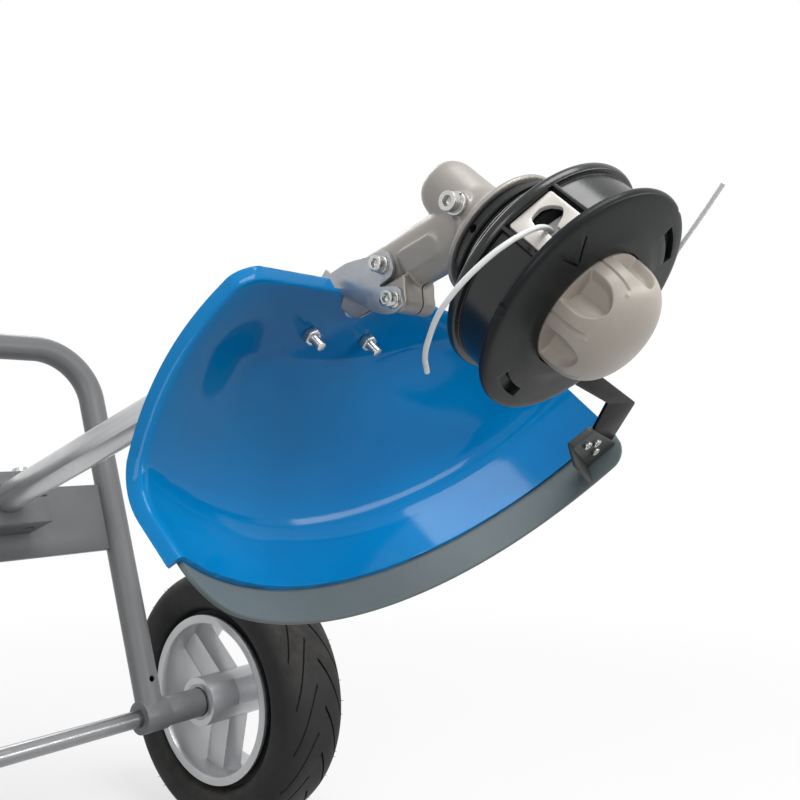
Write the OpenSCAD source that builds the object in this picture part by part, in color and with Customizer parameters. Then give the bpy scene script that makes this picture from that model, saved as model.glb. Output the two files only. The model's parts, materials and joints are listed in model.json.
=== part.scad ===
// Front end of a wheeled brush cutter: a line head on an angled gear case, its guard and its carriage.
// The origin is the rear end of the shaft tube, X points forward, Y to the machine's left and Z up.

/* [Stance] */
// Tilt of the shaft tube, head end up
tube_tilt = 19.3; // [10:0.1:30]
// Angle between the shaft tube and the cutting plane
gear_angle = 30; // [28:1:34]

/* [Shaft] */
// Length of the shaft tube
tube_len = 716; // [640:1:800]
// Outside diameter of the shaft tube
tube_d = 26; // [25:0.5:28]
// Wall of the shaft tube
tube_wall = 1.5; // [1:0.1:2]
// Diameter of the drive shaft
shaft_d = 8; // [7:0.5:8]
// Length of each shaft bush
bush_len = 24; // [16:1:40]
// Stretch of tube that the engine clamp takes
engine_grip = 60; // [40:1:80]

/* [Gear case] */
// Radius of the closed upper boss
boss_r = 17; // [17:0.1:19]
// Height of the boss over the centre of the gears
boss_top = 39; // [38:1:46]
// Radius of the neck around the tube
neck_r = 15.6; // [15.5:0.1:18]
// Length of the neck from the centre of the gears
neck_len = 102; // [96:1:112]
// Radius of the bell over the head
bell_r = 37.5; // [34:0.5:42]
// Depth of the bell's rim under the centre of the gears
bell_drop = 21; // [20.5:0.1:24]
// Teeth on the pinion
pinion_teeth = 12; // [12:12]
// Teeth on the crown gear
crown_teeth = 16; // [16:16]

/* [Line head] */
// Radius of the rear flange
rear_flange_r = 62; // [58:0.5:66]
// Radius of the front flange
front_flange_r = 66; // [62:0.5:72]
// Radius of the drum between the flanges
drum_r = 58; // [55:0.5:59]
// Height of the drum between the flanges
drum_h = 26; // [25:0.5:32]
// Radius of the bump knob
knob_r = 33.4; // [30:0.1:36]
// Height of the bump knob under the front flange
knob_h = 33; // [28:1:38]
// Finger recesses around the bump knob
knob_recesses = 10; // [8:1:12]
// Travel of the bump knob
knob_travel = 6; // [4:0.5:6]
// Diameter of the cutting line
line_d = 2.7; // [2:0.1:3.3]

/* [Guard] */
// Radius inside the guard's wall, from the head's axis
guard_r = 229; // [216:1:240]
// Wall of the guard
guard_wall = 3; // [2:0.5:4]
// Height of the guard's flat panel over the centre of the gears
panel_z = 42; // [40:0.5:44]
// Distance of the panel's front edge behind the head's axis
panel_front = 82; // [78:1:86]
// Depth of the wall's lower edge under the centre of the gears
wall_drop = 52; // [46:1:56]
// Height of the roof's crease over the centre of the gears
crease_z = -5; // [-12:1:6]
// Angle that the guard covers to the right of the rear
right_sweep = 36; // [30:1:42]
// Angle that the guard covers to the left of the rear
left_sweep = 63; // [58:1:68]
// Height of the skirt that shows under the wall
skirt_show = 24; // [16:1:32]
// Thickness of the skirt
skirt_wall = 3; // [2:0.5:5]
// Thickness of the line cutter
cutter_t = 2.4; // [1.5:0.1:3]

/* [Carriage] */
// Distance of the tube clamp from the tube's rear end
clamp_reach = 188; // [140:1:240]
// Diameter of the hoop's tube
hoop_d = 25; // [22:0.5:28]
// Distance between the middles of the hoop's legs
leg_spacing = 260; // [230:1:300]
// Height of the hoop over the shaft tube
hoop_above = 164; // [140:1:190]
// Distance from the shaft tube down to the axle
axle_below = 210; // [190:1:230]
// Bend radius of the hoop
hoop_bend = 55; // [45:1:75]
// Height of the cross plate
plate_h = 66; // [50:1:80]
// Diameter of the axle
axle_d = 16; // [14:0.5:18]

/* [Wheels] */
// Distance between the wheels' middle planes
track = 462; // [440:1:500]
// Outside diameter of the tyre
tyre_d = 258; // [240:1:270]
// Width of the tyre
tyre_w = 75; // [66:1:80]
// Diameter of the rim's edge
rim_d = 172; // [160:1:180]
// Tread grooves on each side of the tyre
tread_blocks = 18; // [12:1:24]
// Depth of the tread grooves
groove_depth = 2.4; // [1.5:0.1:3]
// Spokes in each rim
spokes = 3; // [3:1:8]

/* [Hidden] */
$fn = 64;
// Radial clearance of a fit and of two pieces that slide past each other
fit_gap = 0.05;
slide_gap = 0.4;
e = 0.01;

head_pitch = tube_tilt + gear_angle;
tube_r = tube_d / 2;
shaft_r = shaft_d / 2;

// Stations along the tube's axis, counted from the centre of the gears
pinion_back = 24;
bearing_w = 8;
bearing_front = pinion_back + 0.4;
bearings_end = bearing_front + 2 * bearing_w + 0.3;
clip_w = 1.2;
tube_start = bearings_end + clip_w + 0.6;
tube_reach = tube_start + tube_len;
clamp_s = tube_reach - clamp_reach;
head_centre = [tube_reach * cos(tube_tilt), 0, tube_reach * sin(tube_tilt)];

// Bevel gears: the pitch cones share their point at the centre of the gears
shaft_angle = 90 - gear_angle;
pinion_cone = atan2(sin(shaft_angle), crown_teeth / pinion_teeth + cos(shaft_angle));
crown_cone = shaft_angle - pinion_cone;
cone_in = 16;
cone_out = 24;
tooth_add = 1.1;
tooth_ded = 1.5;
tooth_tip = 1.0;
tooth_root = 1.9;

// Output shaft and its bearings, as heights in the head's frame
top_bearing_z = 26.5;
top_bearing_w = 6;
top_bearing_r = 11;
low_bearing_w = 8;
seal_h = 3.6;
low_bearing_z = -bell_drop + seal_h + 0.2;
low_bearing_r = 17.5;
journal_top_r = 5;
journal_low_r = 8.5;
gear_seat_r = 6.5;
crown_back = 23;
crown_hub_r = 10;
crown_hub_top = top_bearing_z - 0.4;
adapter_seat_r = 7;
thread_r = 5;
input_hub_r = 5;

// Heights of the line head
adapter_gap = 1;
adapter_top = -bell_drop - adapter_gap;
adapter_h = 13;
adapter_r = 40;
hub_top = adapter_top - adapter_h - 0.2;
hub_h = 13;
rear_flange_top = hub_top - hub_h;
top_plate = 3.5;
drum_top = rear_flange_top - top_plate;
drum_bottom = drum_top - drum_h;
cover_t = 5;
cover_bottom = drum_bottom - cover_t;
drum_wall = 3;
cover_hole_r = knob_r + 0.6;
knob_tip = cover_bottom - knob_h;
recess_w = 12;
recess_h = 18.5;
recess_low = 22;
recess_depth = 5;
recess_turn = -58;

// Spool and spring
spool_bottom = drum_bottom + slide_gap;
spool_flange_t = 2.2;
spool_top = drum_top - slide_gap - knob_travel;
spool_r = drum_r - drum_wall - 2;
spool_core_r = 22;
spring_well_r = 17;
spring_floor = spool_bottom + 4;
seat_t = 2;
seat_r = 16;
wire_r = 0.9;
spring_r = 12.5;
spring_turns = 4.5;
spring_top = drum_top - slide_gap - seat_t - wire_r - 0.1;
spring_bottom = spring_floor + wire_r + 0.1;
wound_r = 47;
knob_screw_len = 18;

// Line eyelets in the drum: a plate with a mushroom-shaped hole, its stem open below
eyelet_turn = -59;
eyelet_w = 26;
eyelet_low = drum_bottom + 0.5;
eyelet_h = drum_h - 3.5;
eyelet_t = 3.4;
cap_w = 15;
cap_side = 1.5;
cap_low = eyelet_low + 10.7;
cap_high = eyelet_low + 18.5;
stem_w = line_d + 3;
stem_side = -1.5;
line_z = eyelet_low + 7.2;

// Free ends of the line, as points across the head's axis
line_a_route = [[27.3, -47.3], [28.1, -50.7], [28, -55.5], [26, -61], [21.5, -67.3], [15.5, -73.4],
    [9.5, -78], [3, -81.7], [-5.5, -85.4], [-14.8, -87.7], [-24, -88], [-35.4, -84.7], [-46.4, -79.1],
    [-55.8, -69.7]];
line_b_route = [[-27.3, 47.3], [-28.1, 50.7], [-27.8, 55.5], [-25, 61.3], [-19.5, 67.2], [-12, 72],
    [-3, 75.5], [8, 77.6], [20, 78], [32.3, 77.4], [42.2, 76.3], [60.1, 75.1], [81, 72.7]];

// Guard outline in the head's frame
panel_right = -91;
panel_left = 72;
right_guide = [-134, -129];
left_guide = [-84, 150];
guide_back = 40;
flat_share = 0.36;
roof_share = 0.86;
fillet_drop = 22;
guard_columns = 36;
roof_rows = 10;
fillet_rows = 6;
wall_rows = 2;
lip_h = 10;
lip_t = 2.5;
lip_lean = 2.5;
corner_step = 2;
neck_notch = neck_r + 7;
notch_back = 106;

// Guard fixings
bolt_x = -113;
bolt_y = 25;
bolt_r = 3;
nut_flat = 10;
foot_t = 2.5;
foot_edge = 12;
foot_z = panel_z + guard_wall + 0.2;
sheet_t = 2.2;
strap_t = 2.5;
ear_half = 9;
sheet_y = neck_r + 0.1;
bracket_side = [[10, 54], [11, 62], [10, 97], [1, 100], [-29, 70], [-32, 62], [-30, 53], [-21, 52],
    [-13, 58],
    [-10, 51], [4, 50]];
web_front = 80;
web_h = 17;
web_t = sheet_t - 0.4;

// Skirt and cutter
skirt_r = guard_r + guard_wall + 0.3;
skirt_lap = 12;
skirt_low = -wall_drop - skirt_show;
skirt_corner = 18;
skirt_screw_r = 2;
skirt_right = right_sweep - 1.5;
// A point so far inside the skirt, at an angle about the head's axis
function inside_skirt(p) = (skirt_r - p[0]) * [cos(p[1]), sin(p[1])];
block_plan = [for (p = [[46.4, 121.8], [47.1, 128], [-2.1, 124.6], [-1.2, 118.1]]) inside_skirt(p)];
block_top = -wall_drop - 0.8;
block_low = -wall_drop - 12;
cutter_z = block_low + 2.6;
cutter_plan = [for (p = [[40.8, 121.5], [60.6, 116.3], [119.1, 123.8], [126.1, 123.1], [110.2, 115.7],
    [25.6, 111], [-0.5, 119.3], [8.8, 123.7], [39.1, 126.2], [43.7, 124.2]]) inside_skirt(p)];
cutter_holes = [for (p = [[37.3, 124.3], [29.2, 122.1], [18.2, 122.8]]) inside_skirt(p)];

// Neck screws, as places along and over the tube's axis
lock_s = 59;
lock_h = -3;
pinch_s = 58;
pinch_h = -25;
pinch_r = 7;
pinch_half = 12;
slit_front = 44;
screw_r = 2.5;
screw_head_r = 4.6;
screw_head_h = 5;
washer_r = 5;
washer_t = 2.6;
screw_seat = sheet_y + sheet_t;
plug_x = 2;
plug_z = 3.5;
plug_face = boss_r + 3;
plug_r = 4;
plug_boss_r = 7.4;

// Carriage
hoop_r = hoop_d / 2;
hoop_wall = 2;
leg_y = leg_spacing / 2;
axle_r = axle_d / 2;
plate_t = 6;
plate_top = tube_r + 6;
clamp_w = 76;
clamp_len = 40;
clamp_wall = 11;
clamp_bolt_y = 26;
clamp_bolt_r = 4;
split_gap = 1;
hub_half = 30;
hub_inner = 45;
hub_r = 24;
spoke_w = 26;
spoke_t = 24;
wheel_bearing_r = 17.5;
wheel_bearing_w = 11;
wheel_y = track / 2;
collar_r = 14;
nut_h = 9;
nut_r = 13;
axle_end = wheel_y + hub_half + 1 + nut_h + 4;
rim_half = 33;
rim_wall = 4;
rim_edge_r = rim_d / 2;
rim_lip = 8;
cap_h = 18;
groove_w = 3;
groove_len = 40;
groove_start = 4;
groove_slant = 50;
groove_fall = 6.6;

// Frames: the head's has Z along the output shaft, the tube's has Z back along the tube and X on top
module at_head() {
    translate(head_centre) rotate([0, -head_pitch, 0]) children();
}
module at_tube() {
    at_head() rotate([0, gear_angle - 90, 0]) children();
}
module at_hoop() {
    at_tube() translate([0, 0, clamp_s]) children();
}

// Basic shapes
module ring(r_out, r_in, z_low, z_high) {
    translate([0, 0, z_low]) difference() {
        cylinder(r = r_out, h = z_high - z_low);
        translate([0, 0, -e]) cylinder(r = r_in, h = z_high - z_low + 2 * e);
    }
}
module rod(r, z_low, z_high) {
    translate([0, 0, z_low]) cylinder(r = r, h = z_high - z_low);
}
// A ball bearing drawn as one ring with the two race gaps cut into its faces
module bearing(r_out, r_in, z_low, w) {
    gap_in = r_in + (r_out - r_in) * 0.38;
    gap_out = r_in + (r_out - r_in) * 0.62;
    difference() {
        ring(r_out - fit_gap, r_in + fit_gap, z_low, z_low + w);
        ring(gap_out, gap_in, z_low - e, z_low + 1);
        ring(gap_out, gap_in, z_low + w - 1, z_low + w + e);
    }
}
// A socket-head screw along Z with its seat at 0 and its head above
module socket_screw(r, len, head_r, head_h) {
    difference() {
        union() {
            rod(head_r, 0, head_h);
            rod(r, -len, e);
        }
        translate([0, 0, head_h * 0.45]) cylinder(r = head_r * 0.58, h = head_h, $fn = 6);
    }
}
module hex_nut(flat, h, bore_r) {
    difference() {
        cylinder(d = flat / cos(30), h = h, $fn = 6);
        translate([0, 0, -e]) cylinder(r = bore_r, h = h + 2 * e);
    }
}
// Straight teeth around a pitch cone that opens up Z from the origin
module bevel_teeth(count, cone, turn) {
    for (i = [0 : count - 1]) rotate([0, 0, turn + i * 360 / count]) rotate([0, cone, 0])
        translate([0, 0, cone_in]) linear_extrude(cone_out - cone_in)
            polygon([[-tooth_ded, -tooth_root / 2], [tooth_add, -tooth_tip / 2],
                [tooth_add, tooth_tip / 2], [-tooth_ded, tooth_root / 2]]);
}
// The blank under the teeth: a cone from the small end to the large end, and a plain back
module bevel_blank(cone, bore_r, back) {
    sink = tooth_ded * 0.9;
    low = cone_in * cos(cone) + sink * sin(cone);
    high = cone_out * cos(cone) + sink * sin(cone);
    r_low = cone_in * sin(cone) - sink * cos(cone);
    r_high = cone_out * sin(cone) - sink * cos(cone);
    rotate_extrude() polygon([[bore_r, low], [r_low, low], [r_high, high], [r_high, back], [bore_r,
        back]]);
}

// Shaft
module shaft_tube() color("silver") at_tube() difference() {
    ring(tube_r, tube_r - tube_wall, tube_start, tube_reach);
    ring(tube_r + 1, tube_r - 0.5, tube_reach - engine_grip - 4, tube_reach - engine_grip);
    translate([lock_h, 0, lock_s]) rotate([90, 0, 0]) cylinder(r = screw_r + 0.3, h = tube_r + 1);
}
module shaft_bushes() color("dimgray") at_tube() {
    first = neck_len + bush_len;
    last = tube_reach - bush_len - 6;
    for (i = [0 : 3]) {
        s = first + (last - first) * i / 3;
        ring(tube_r - tube_wall - fit_gap, shaft_r + fit_gap, s, s + bush_len);
    }
}
module drive_shaft() color("gray") at_tube() {
    rod(shaft_r, pinion_back + 6, tube_reach + 2);
    translate([0, 0, tube_reach + 2]) cylinder(r = shaft_r * 0.92, h = 14, $fn = 8);
}
module pinion() color("gray") at_tube() difference() {
    union() {
        bevel_blank(pinion_cone, 0, pinion_back);
        bevel_teeth(pinion_teeth, pinion_cone, 0);
        rod(input_hub_r, pinion_back - 1, bearings_end + 0.4);
    }
    rod(shaft_r + fit_gap, pinion_back + 6, bearings_end + 2);
}

// Gear case
module case_body() {
    at_head() rotate_extrude() polygon([[0, boss_top], [boss_r - 9, boss_top], [boss_r - 4,
        boss_top - 1.5],
        [boss_r - 1.2, boss_top - 4.5], [boss_r, boss_top - 9], [boss_r, 5], [boss_r + 3, 1],
        [bell_r - 9, -3.5], [bell_r - 4, -8], [bell_r - 1, -13], [bell_r, -bell_drop + 5],
        [bell_r, -bell_drop], [0, -bell_drop]]);
    at_tube() {
        rod(neck_r, 2, neck_len);
        translate([-7, -neck_r - 1.4, 17]) cube([13, neck_r, 32]);
        translate([pinch_h, -neck_r, pinch_s]) rotate([-90, 0, 0]) cylinder(r = pinch_r,
            h = neck_r + pinch_half);
        translate([pinch_h, -neck_r, pinch_s - pinch_r])
            cube([-pinch_h - tube_r, neck_r + pinch_half, 2 * pinch_r]);
    }
    at_head() translate([plug_x, 0, plug_z]) rotate([90, 0, 0]) cylinder(r = plug_boss_r, h = plug_face);
}
module case_cavity() {
    at_head() {
        rod(boss_r - 2.3, low_bearing_z, top_bearing_z - 0.5);
        rod(top_bearing_r, 0, top_bearing_z + top_bearing_w + 1);
        rod(low_bearing_r, -bell_drop - 1, low_bearing_z + low_bearing_w + 0.3);
        translate([plug_x, 0, plug_z]) rotate([90, 0, 0]) cylinder(r = plug_r + fit_gap,
            h = plug_face + 1);
        translate([plug_x, -plug_face, plug_z]) rotate([90, 0, 0]) cylinder(r = plug_boss_r, h = boss_r);
        ring(bell_r - 3, low_bearing_r + 4, -bell_drop - 1, -bell_drop + 5);
    }
    at_tube() {
        rod(tube_r - 0.6, 8, pinion_back + 0.4);
        rod(tube_r + fit_gap, pinion_back + 0.4, neck_len + 1);
        translate([pinch_h - 2 * pinch_r, -0.8, slit_front])
            cube([2 * pinch_r - pinch_h - tube_r + 1, 1.6, neck_len]);
        translate([lock_h, 0, lock_s]) rotate([90, 0, 0]) cylinder(r = screw_r + fit_gap, h = neck_r + 2);
        translate([pinch_h, 0, pinch_s]) rotate([90, 0, 0])
            cylinder(r = screw_r + fit_gap, h = 4 * pinch_half, center = true);
    }
}
module gear_case() color("gainsboro") difference() {
    case_body();
    case_cavity();
}
module input_bearings() color("lightsteelblue") at_tube() {
    for (i = [0 : 1]) bearing(tube_r + fit_gap, input_hub_r, bearing_front + i * (bearing_w + 0.2),
        bearing_w);
}
module bearing_circlip() color("dimgray") at_tube() translate([0, 0, bearings_end])
    rotate([0, 0, 20]) rotate_extrude(angle = 320) translate([tube_r - 2.5, 0.1]) square([2.4, clip_w]);
module output_bearings() color("lightsteelblue") at_head() {
    bearing(top_bearing_r, journal_top_r, top_bearing_z, top_bearing_w);
    bearing(low_bearing_r, journal_low_r, low_bearing_z, low_bearing_w);
}
module output_seal() color("saddlebrown") at_head()
    ring(low_bearing_r - fit_gap, journal_low_r + fit_gap, -bell_drop, -bell_drop + seal_h);
module grease_plug() color("silver") at_head() translate([plug_x, -plug_face - washer_t, plug_z])
    rotate([90, 0, 0])
    socket_screw(plug_r, washer_t + 5, 5.4, 7);
module locating_screw() color("silver") at_tube() translate([lock_h, -screw_seat - washer_t, lock_s])
    rotate([90, 0, 0]) socket_screw(screw_r, washer_t + screw_seat - tube_r + tube_wall, screw_head_r,
        screw_head_h);
module pinch_screw() color("silver") at_tube() translate([pinch_h, -screw_seat - washer_t, pinch_s])
    rotate([90, 0, 0]) socket_screw(screw_r, washer_t + screw_seat + pinch_half - 3, screw_head_r,
        screw_head_h);
// Split spring washers under the three screw heads
module split_washer(r, bore_r) rotate([90, 0, 0]) difference() {
    ring(r, bore_r + 0.2, 0, washer_t);
    translate([0, -0.5, -e]) cube([2 * r, 1, washer_t + 2 * e]);
}
module spring_washers() color("darkgray") {
    at_head() translate([plug_x, -plug_face, plug_z]) split_washer(washer_r + 1.5, plug_r);
    at_tube() translate([lock_h, -screw_seat, lock_s]) split_washer(washer_r, screw_r);
    at_tube() translate([pinch_h, -screw_seat, pinch_s]) split_washer(washer_r, screw_r);
}

// Rotating head
module output_shaft() color("gray") at_head() {
    rod(journal_top_r, crown_hub_top - 1, top_bearing_z + top_bearing_w + 0.4);
    rod(gear_seat_r, low_bearing_z + low_bearing_w, crown_hub_top);
    rod(journal_low_r, -bell_drop - 0.4, low_bearing_z + low_bearing_w + 0.3);
    rod(adapter_seat_r, hub_top + 0.1, -bell_drop);
    rod(thread_r, drum_top + 0.5, hub_top + 0.2);
}
module crown_gear() color("gray") at_head() {
    bevel_teeth(crown_teeth, crown_cone, 180 / crown_teeth);
    bevel_blank(crown_cone, gear_seat_r + fit_gap, crown_back);
    ring(crown_hub_r, gear_seat_r + fit_gap, crown_back - 1, crown_hub_top);
}
module drive_adapter() color("dimgray") at_head() difference() {
    rotate_extrude() polygon([[adapter_seat_r + fit_gap, adapter_top], [adapter_r - 4, adapter_top],
        [adapter_r - 1, adapter_top - 3], [adapter_r - 1, adapter_top - 6], [adapter_r,
            adapter_top - 6.5],
        [adapter_r, adapter_top - adapter_h], [adapter_seat_r + fit_gap, adapter_top - adapter_h]]);
    for (i = [0 : 3]) rotate([0, 0, i * 90 - 88]) translate([adapter_r - 12, 0, adapter_top - 4.2])
        rotate([0, 90, 0]) cylinder(r = 3, h = 20);
}
module head_housing() color("darkslategray") at_head() difference() {
    rotate_extrude() polygon([[thread_r + fit_gap, hub_top], [adapter_r + 3, hub_top], [adapter_r + 5,
        hub_top - 2],
        [adapter_r + 5, hub_top - 4], [rear_flange_r - 14, rear_flange_top + 5],
        [rear_flange_r - 5, rear_flange_top + 1], [rear_flange_r - 1.5, rear_flange_top - 0.5],
        [rear_flange_r, rear_flange_top - 3], [rear_flange_r - 0.8, drum_top - 2],
        [rear_flange_r - 2.5, drum_top - 2.6], [drum_r, drum_top - 2.6], [drum_r, drum_bottom],
        [drum_r - drum_wall, drum_bottom], [drum_r - drum_wall, drum_top], [thread_r + fit_gap,
            drum_top]]);
    eyelet_seats(0.2);
}
// The space that the two eyelets take in the drum's wall
module eyelet_seats(gap) {
    for (turn = [0, 180]) rotate([0, 0, eyelet_turn + turn])
        translate([drum_r - drum_wall - 3, -eyelet_w / 2 - gap, eyelet_low - gap])
            cube([drum_wall + 6, eyelet_w + 2 * gap, eyelet_h + 2 * gap]);
}
module eyelet() difference() {
    translate([drum_r - eyelet_t + 0.4, -eyelet_w / 2, eyelet_low]) cube([eyelet_t, eyelet_w, eyelet_h]);
    translate([drum_r - 10, stem_side - stem_w / 2, eyelet_low - 1])
        cube([20, stem_w, cap_low - eyelet_low + 2]);
    translate([drum_r - 10, cap_side - cap_w / 2, cap_low]) cube([20, cap_w, cap_high - cap_low]);
}
module line_eyelets() color("linen") at_head() for (turn = [0, 180]) rotate([0, 0, eyelet_turn + turn])
    eyelet();
module head_cover() color("darkslategray") at_head() difference() {
    rotate_extrude() polygon([[cover_hole_r, drum_bottom], [front_flange_r - 4, drum_bottom],
        [front_flange_r - 1.5, drum_bottom - 0.8], [front_flange_r, drum_bottom - 3],
        [front_flange_r - 1, cover_bottom - 0.6], [front_flange_r - 4, cover_bottom - 1.2],
        [knob_r + 12, cover_bottom - 2.2], [knob_r + 6, cover_bottom - 3.2], [cover_hole_r,
            cover_bottom - 3.2]]);
    for (turn = [20 : 120 : 260]) rotate([0, 0, turn]) translate([front_flange_r + 4, 0,
        cover_bottom - 3])
        cylinder(r = 6, h = cover_t + 4);
}
module spring_seat() color("silver") at_head()
    ring(seat_r, thread_r + 3, drum_top - slide_gap - seat_t, drum_top - slide_gap);

// A round wire swept along a list of points; each ring stands across the path
function unit(v) = v / norm(v);
function along(p, i) = unit(p[min(i + 1, len(p) - 1)] - p[max(i - 1, 0)]);
module swept_wire(path, r, sides) {
    rings = len(path);
    side = [for (i = [0 : rings - 1]) unit(cross([0, 0, 1], along(path, i)))];
    up = [for (i = [0 : rings - 1]) cross(along(path, i), side[i])];
    points = [for (i = [0 : rings - 1], k = [0 : sides - 1])
        path[i] + r * (cos(k * 360 / sides) * side[i] + sin(k * 360 / sides) * up[i])];
    walls = [for (i = [0 : rings - 2], k = [0 : sides - 1]) let (n = (k + 1) % sides)
        [i * sides + k, i * sides + n, (i + 1) * sides + n, (i + 1) * sides + k]];
    start_cap = [[for (k = [sides - 1 : -1 : 0]) k]];
    end_cap = [[for (k = [0 : sides - 1]) (rings - 1) * sides + k]];
    faces = concat(walls, start_cap, end_cap);
    polyhedron(points = points, faces = [for (f = faces) [for (k = [len(f) - 1 : -1 : 0]) f[k]]]);
}
module bump_spring() color("lightgray") at_head() {
    steps = 14;
    count = spring_turns * steps;
    swept_wire([for (i = [0 : count]) [spring_r * cos(i * 360 / steps), spring_r * sin(i * 360 / steps),
        spring_top + (spring_bottom - spring_top) * i / count]], wire_r, 8);
}
module spool() color("black") at_head() rotate_extrude() polygon([[screw_r + fit_gap, spool_bottom],
    [spool_r, spool_bottom], [spool_r, spool_bottom + spool_flange_t], [spool_core_r,
        spool_bottom + spool_flange_t],
    [spool_core_r, spool_top - spool_flange_t], [spool_r, spool_top - spool_flange_t], [spool_r,
        spool_top],
    [spring_well_r, spool_top], [spring_well_r, spring_floor], [screw_r + fit_gap, spring_floor]]);
// Line wound on the spool: one solid with a rounded bulge for each layer of turns
module wound_line() color("white") at_head() {
    low = spool_bottom + spool_flange_t + 0.1;
    high = spool_top - spool_flange_t - 0.1;
    rows = floor((high - low) / line_d);
    pitch = (high - low) / rows;
    rotate_extrude() polygon(concat([[spool_core_r + 0.1, high], [spool_core_r + 0.1, low]],
        [for (i = [0 : rows - 1], k = [0 : 4])
            [wound_r - line_d / 2 + line_d / 2 * sin(k * 45), low + pitch * (i + k / 4)]]));
}
module bump_knob() color("rosybrown") at_head() {
    dome = 12;
    shoulder = cover_bottom - 5.5;
    difference() {
        rotate_extrude() polygon(concat(
            [[0, spool_bottom - 0.1], [knob_r - 1, spool_bottom - 0.1], [knob_r, cover_bottom]],
            [for (k = [0 : dome]) let (a = 90 * k / dome)
                [knob_r * cos(a), shoulder + (knob_tip - shoulder) * pow(sin(a), 0.66)]]));
        for (i = [0 : knob_recesses - 1]) rotate([0, 0, recess_turn + i * 360 / knob_recesses])
            translate([knob_r - recess_depth, -recess_w / 2, cover_bottom - recess_low])
                cube([2 * recess_depth, recess_w, recess_h]);
        rod(screw_r + fit_gap, spool_bottom - knob_screw_len, spool_bottom + 1);
    }
}
module knob_screw() color("silver") at_head() translate([0, 0, spring_floor])
    socket_screw(screw_r, knob_screw_len, screw_head_r, 4);
module line_a() color("white") at_head()
    swept_wire([for (p = line_a_route) [p[0], p[1], line_z]], line_d / 2, 8);
module line_b() color("white") at_head()
    swept_wire([for (p = line_b_route) [p[0], p[1], line_z]], line_d / 2, 8);

// Guard: a smooth inner surface over columns from right to left and rows from front to foot
function mix(a, b, t) = a + (b - a) * t;
function bend(a, b, c, t) = (1 - t) * (1 - t) * a + 2 * t * (1 - t) * b + t * t * c;
function sweep_at(u) = mix(-right_sweep, left_sweep, u);
function rear_point(u, z) = [-guard_r * cos(sweep_at(u)), guard_r * sin(sweep_at(u)), z];
function front_point(u) = [-panel_front, mix(panel_right, panel_left, u), panel_z];
function roof_guide(u) =
    concat(mix(right_guide, left_guide, u) - [guide_back * 4 * u * (1 - u), 0], panel_z);
function middle_fall(v) = v < flat_share ? 0 : pow((v - flat_share) / (1 - flat_share), 1.2);
function edge_fall(v) = 0.4 * v + 0.6 * v * v;
function middle_share(u) = let (t = min(1, 4 * min(u, 1 - u))) t * t * (3 - 2 * t);
function roof_fall(u, v) = mix(edge_fall(v), middle_fall(v), middle_share(u));
function roof_point(u, v) = let (p = bend(front_point(u), roof_guide(u), rear_point(u, panel_z), v))
    [p[0], p[1], mix(panel_z, crease_z, roof_fall(u, v))];
function guard_row(u, j) =
    j < roof_rows ? roof_point(u, roof_share * j / roof_rows) :
    j < roof_rows + fillet_rows ? bend(roof_point(u, roof_share), rear_point(u, crease_z - 2),
        rear_point(u, crease_z - fillet_drop), (j - roof_rows) / fillet_rows) :
    rear_point(u, mix(crease_z - fillet_drop, -wall_drop, (j - roof_rows - fillet_rows) / wall_rows));
guard_rows = roof_rows + fillet_rows + wall_rows;
function guard_in(i, j) = guard_row(i / guard_columns, j);
function guard_normal(i, j) = unit(cross(
    guard_in(min(i + 1, guard_columns), j) - guard_in(max(i - 1, 0), j),
    guard_in(i, min(j + 1, guard_rows)) - guard_in(i, max(j - 1, 0))));
function guard_out(i, j) = guard_in(i, j) + guard_wall * guard_normal(i, j);

// A closed solid between two grids of points of one size; rows, columns and low to high are right-handed
module grid_solid(low, high) {
    rows = len(low);
    cols = len(low[0]);
    n = rows * cols;
    points = concat([for (r = low) each r], [for (r = high) each r]);
    bottom = [for (i = [0 : rows - 2], j = [0 : cols - 2]) let (a = i * cols + j)
        each [[a, a + cols + 1, a + 1], [a, a + cols, a + cols + 1]]];
    top = [for (f = bottom) [n + f[2], n + f[1], n + f[0]]];
    rim = concat([for (j = [0 : cols - 2]) [j + 1, j]], [for (i = [0 : rows - 2]) [i * cols, (i + 1)
        * cols]],
        [for (j = [0 : cols - 2]) [(rows - 1) * cols + j, (rows - 1) * cols + j + 1]],
        [for (i = [0 : rows - 2]) [(i + 2) * cols - 1, (i + 1) * cols - 1]]);
    edges = [for (s = rim) each [[s[0], n + s[1], s[1]], [s[0], n + s[0], n + s[1]]]];
    polyhedron(points = points, faces = concat(bottom, top, edges));
}
// The sheet's column -1 is the flange along the right-hand edge, its row -1 the one turned up in front
front_lip = [lip_lean, 0, lip_h];
to_rear = [-lip_t, 0, 0];
function lip_at(j) = lip_h * min(1, 0.45 + 0.14 * j);
function to_side(j) = lip_t * unit(guard_in(1, j) - guard_in(0, j));
function sheet_in(i, j) =
    j < 0 ? guard_in(max(i, 0), 0) + front_lip + (i == 0 ? [0, corner_step, 0] : [0, 0, 0]) :
    i < 0 ? guard_in(0, j) + lip_at(j) * guard_normal(0, j) : guard_in(i, j);
function sheet_out(i, j) =
    (j < 0 || i < 0 ? sheet_in(i, j) : guard_out(i, j))
    + (i <= 0 ? to_side(max(j, 0)) : [0, 0, 0]) + (j <= 0 ? to_rear : [0, 0, 0]);
module guard_sheet() {
    grid_solid([for (i = [-1 : guard_columns]) [for (j = [-1 : guard_rows]) sheet_in(i, j)]],
        [for (i = [-1 : guard_columns]) [for (j = [-1 : guard_rows]) sheet_out(i, j)]]);
}
module guard() color("dodgerblue") at_head() difference() {
    guard_sheet();
    translate([-notch_back, -neck_notch, panel_z - 20]) cube([notch_back, 2 * neck_notch, 40]);
    for (y = [-bolt_y, bolt_y]) translate([bolt_x, y, panel_z - 5]) cylinder(r = bolt_r + 0.3, h = 20);
    skirt_screw_places() rod(skirt_screw_r + 0.1, -guard_wall + 0.7, 4);
}
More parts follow.
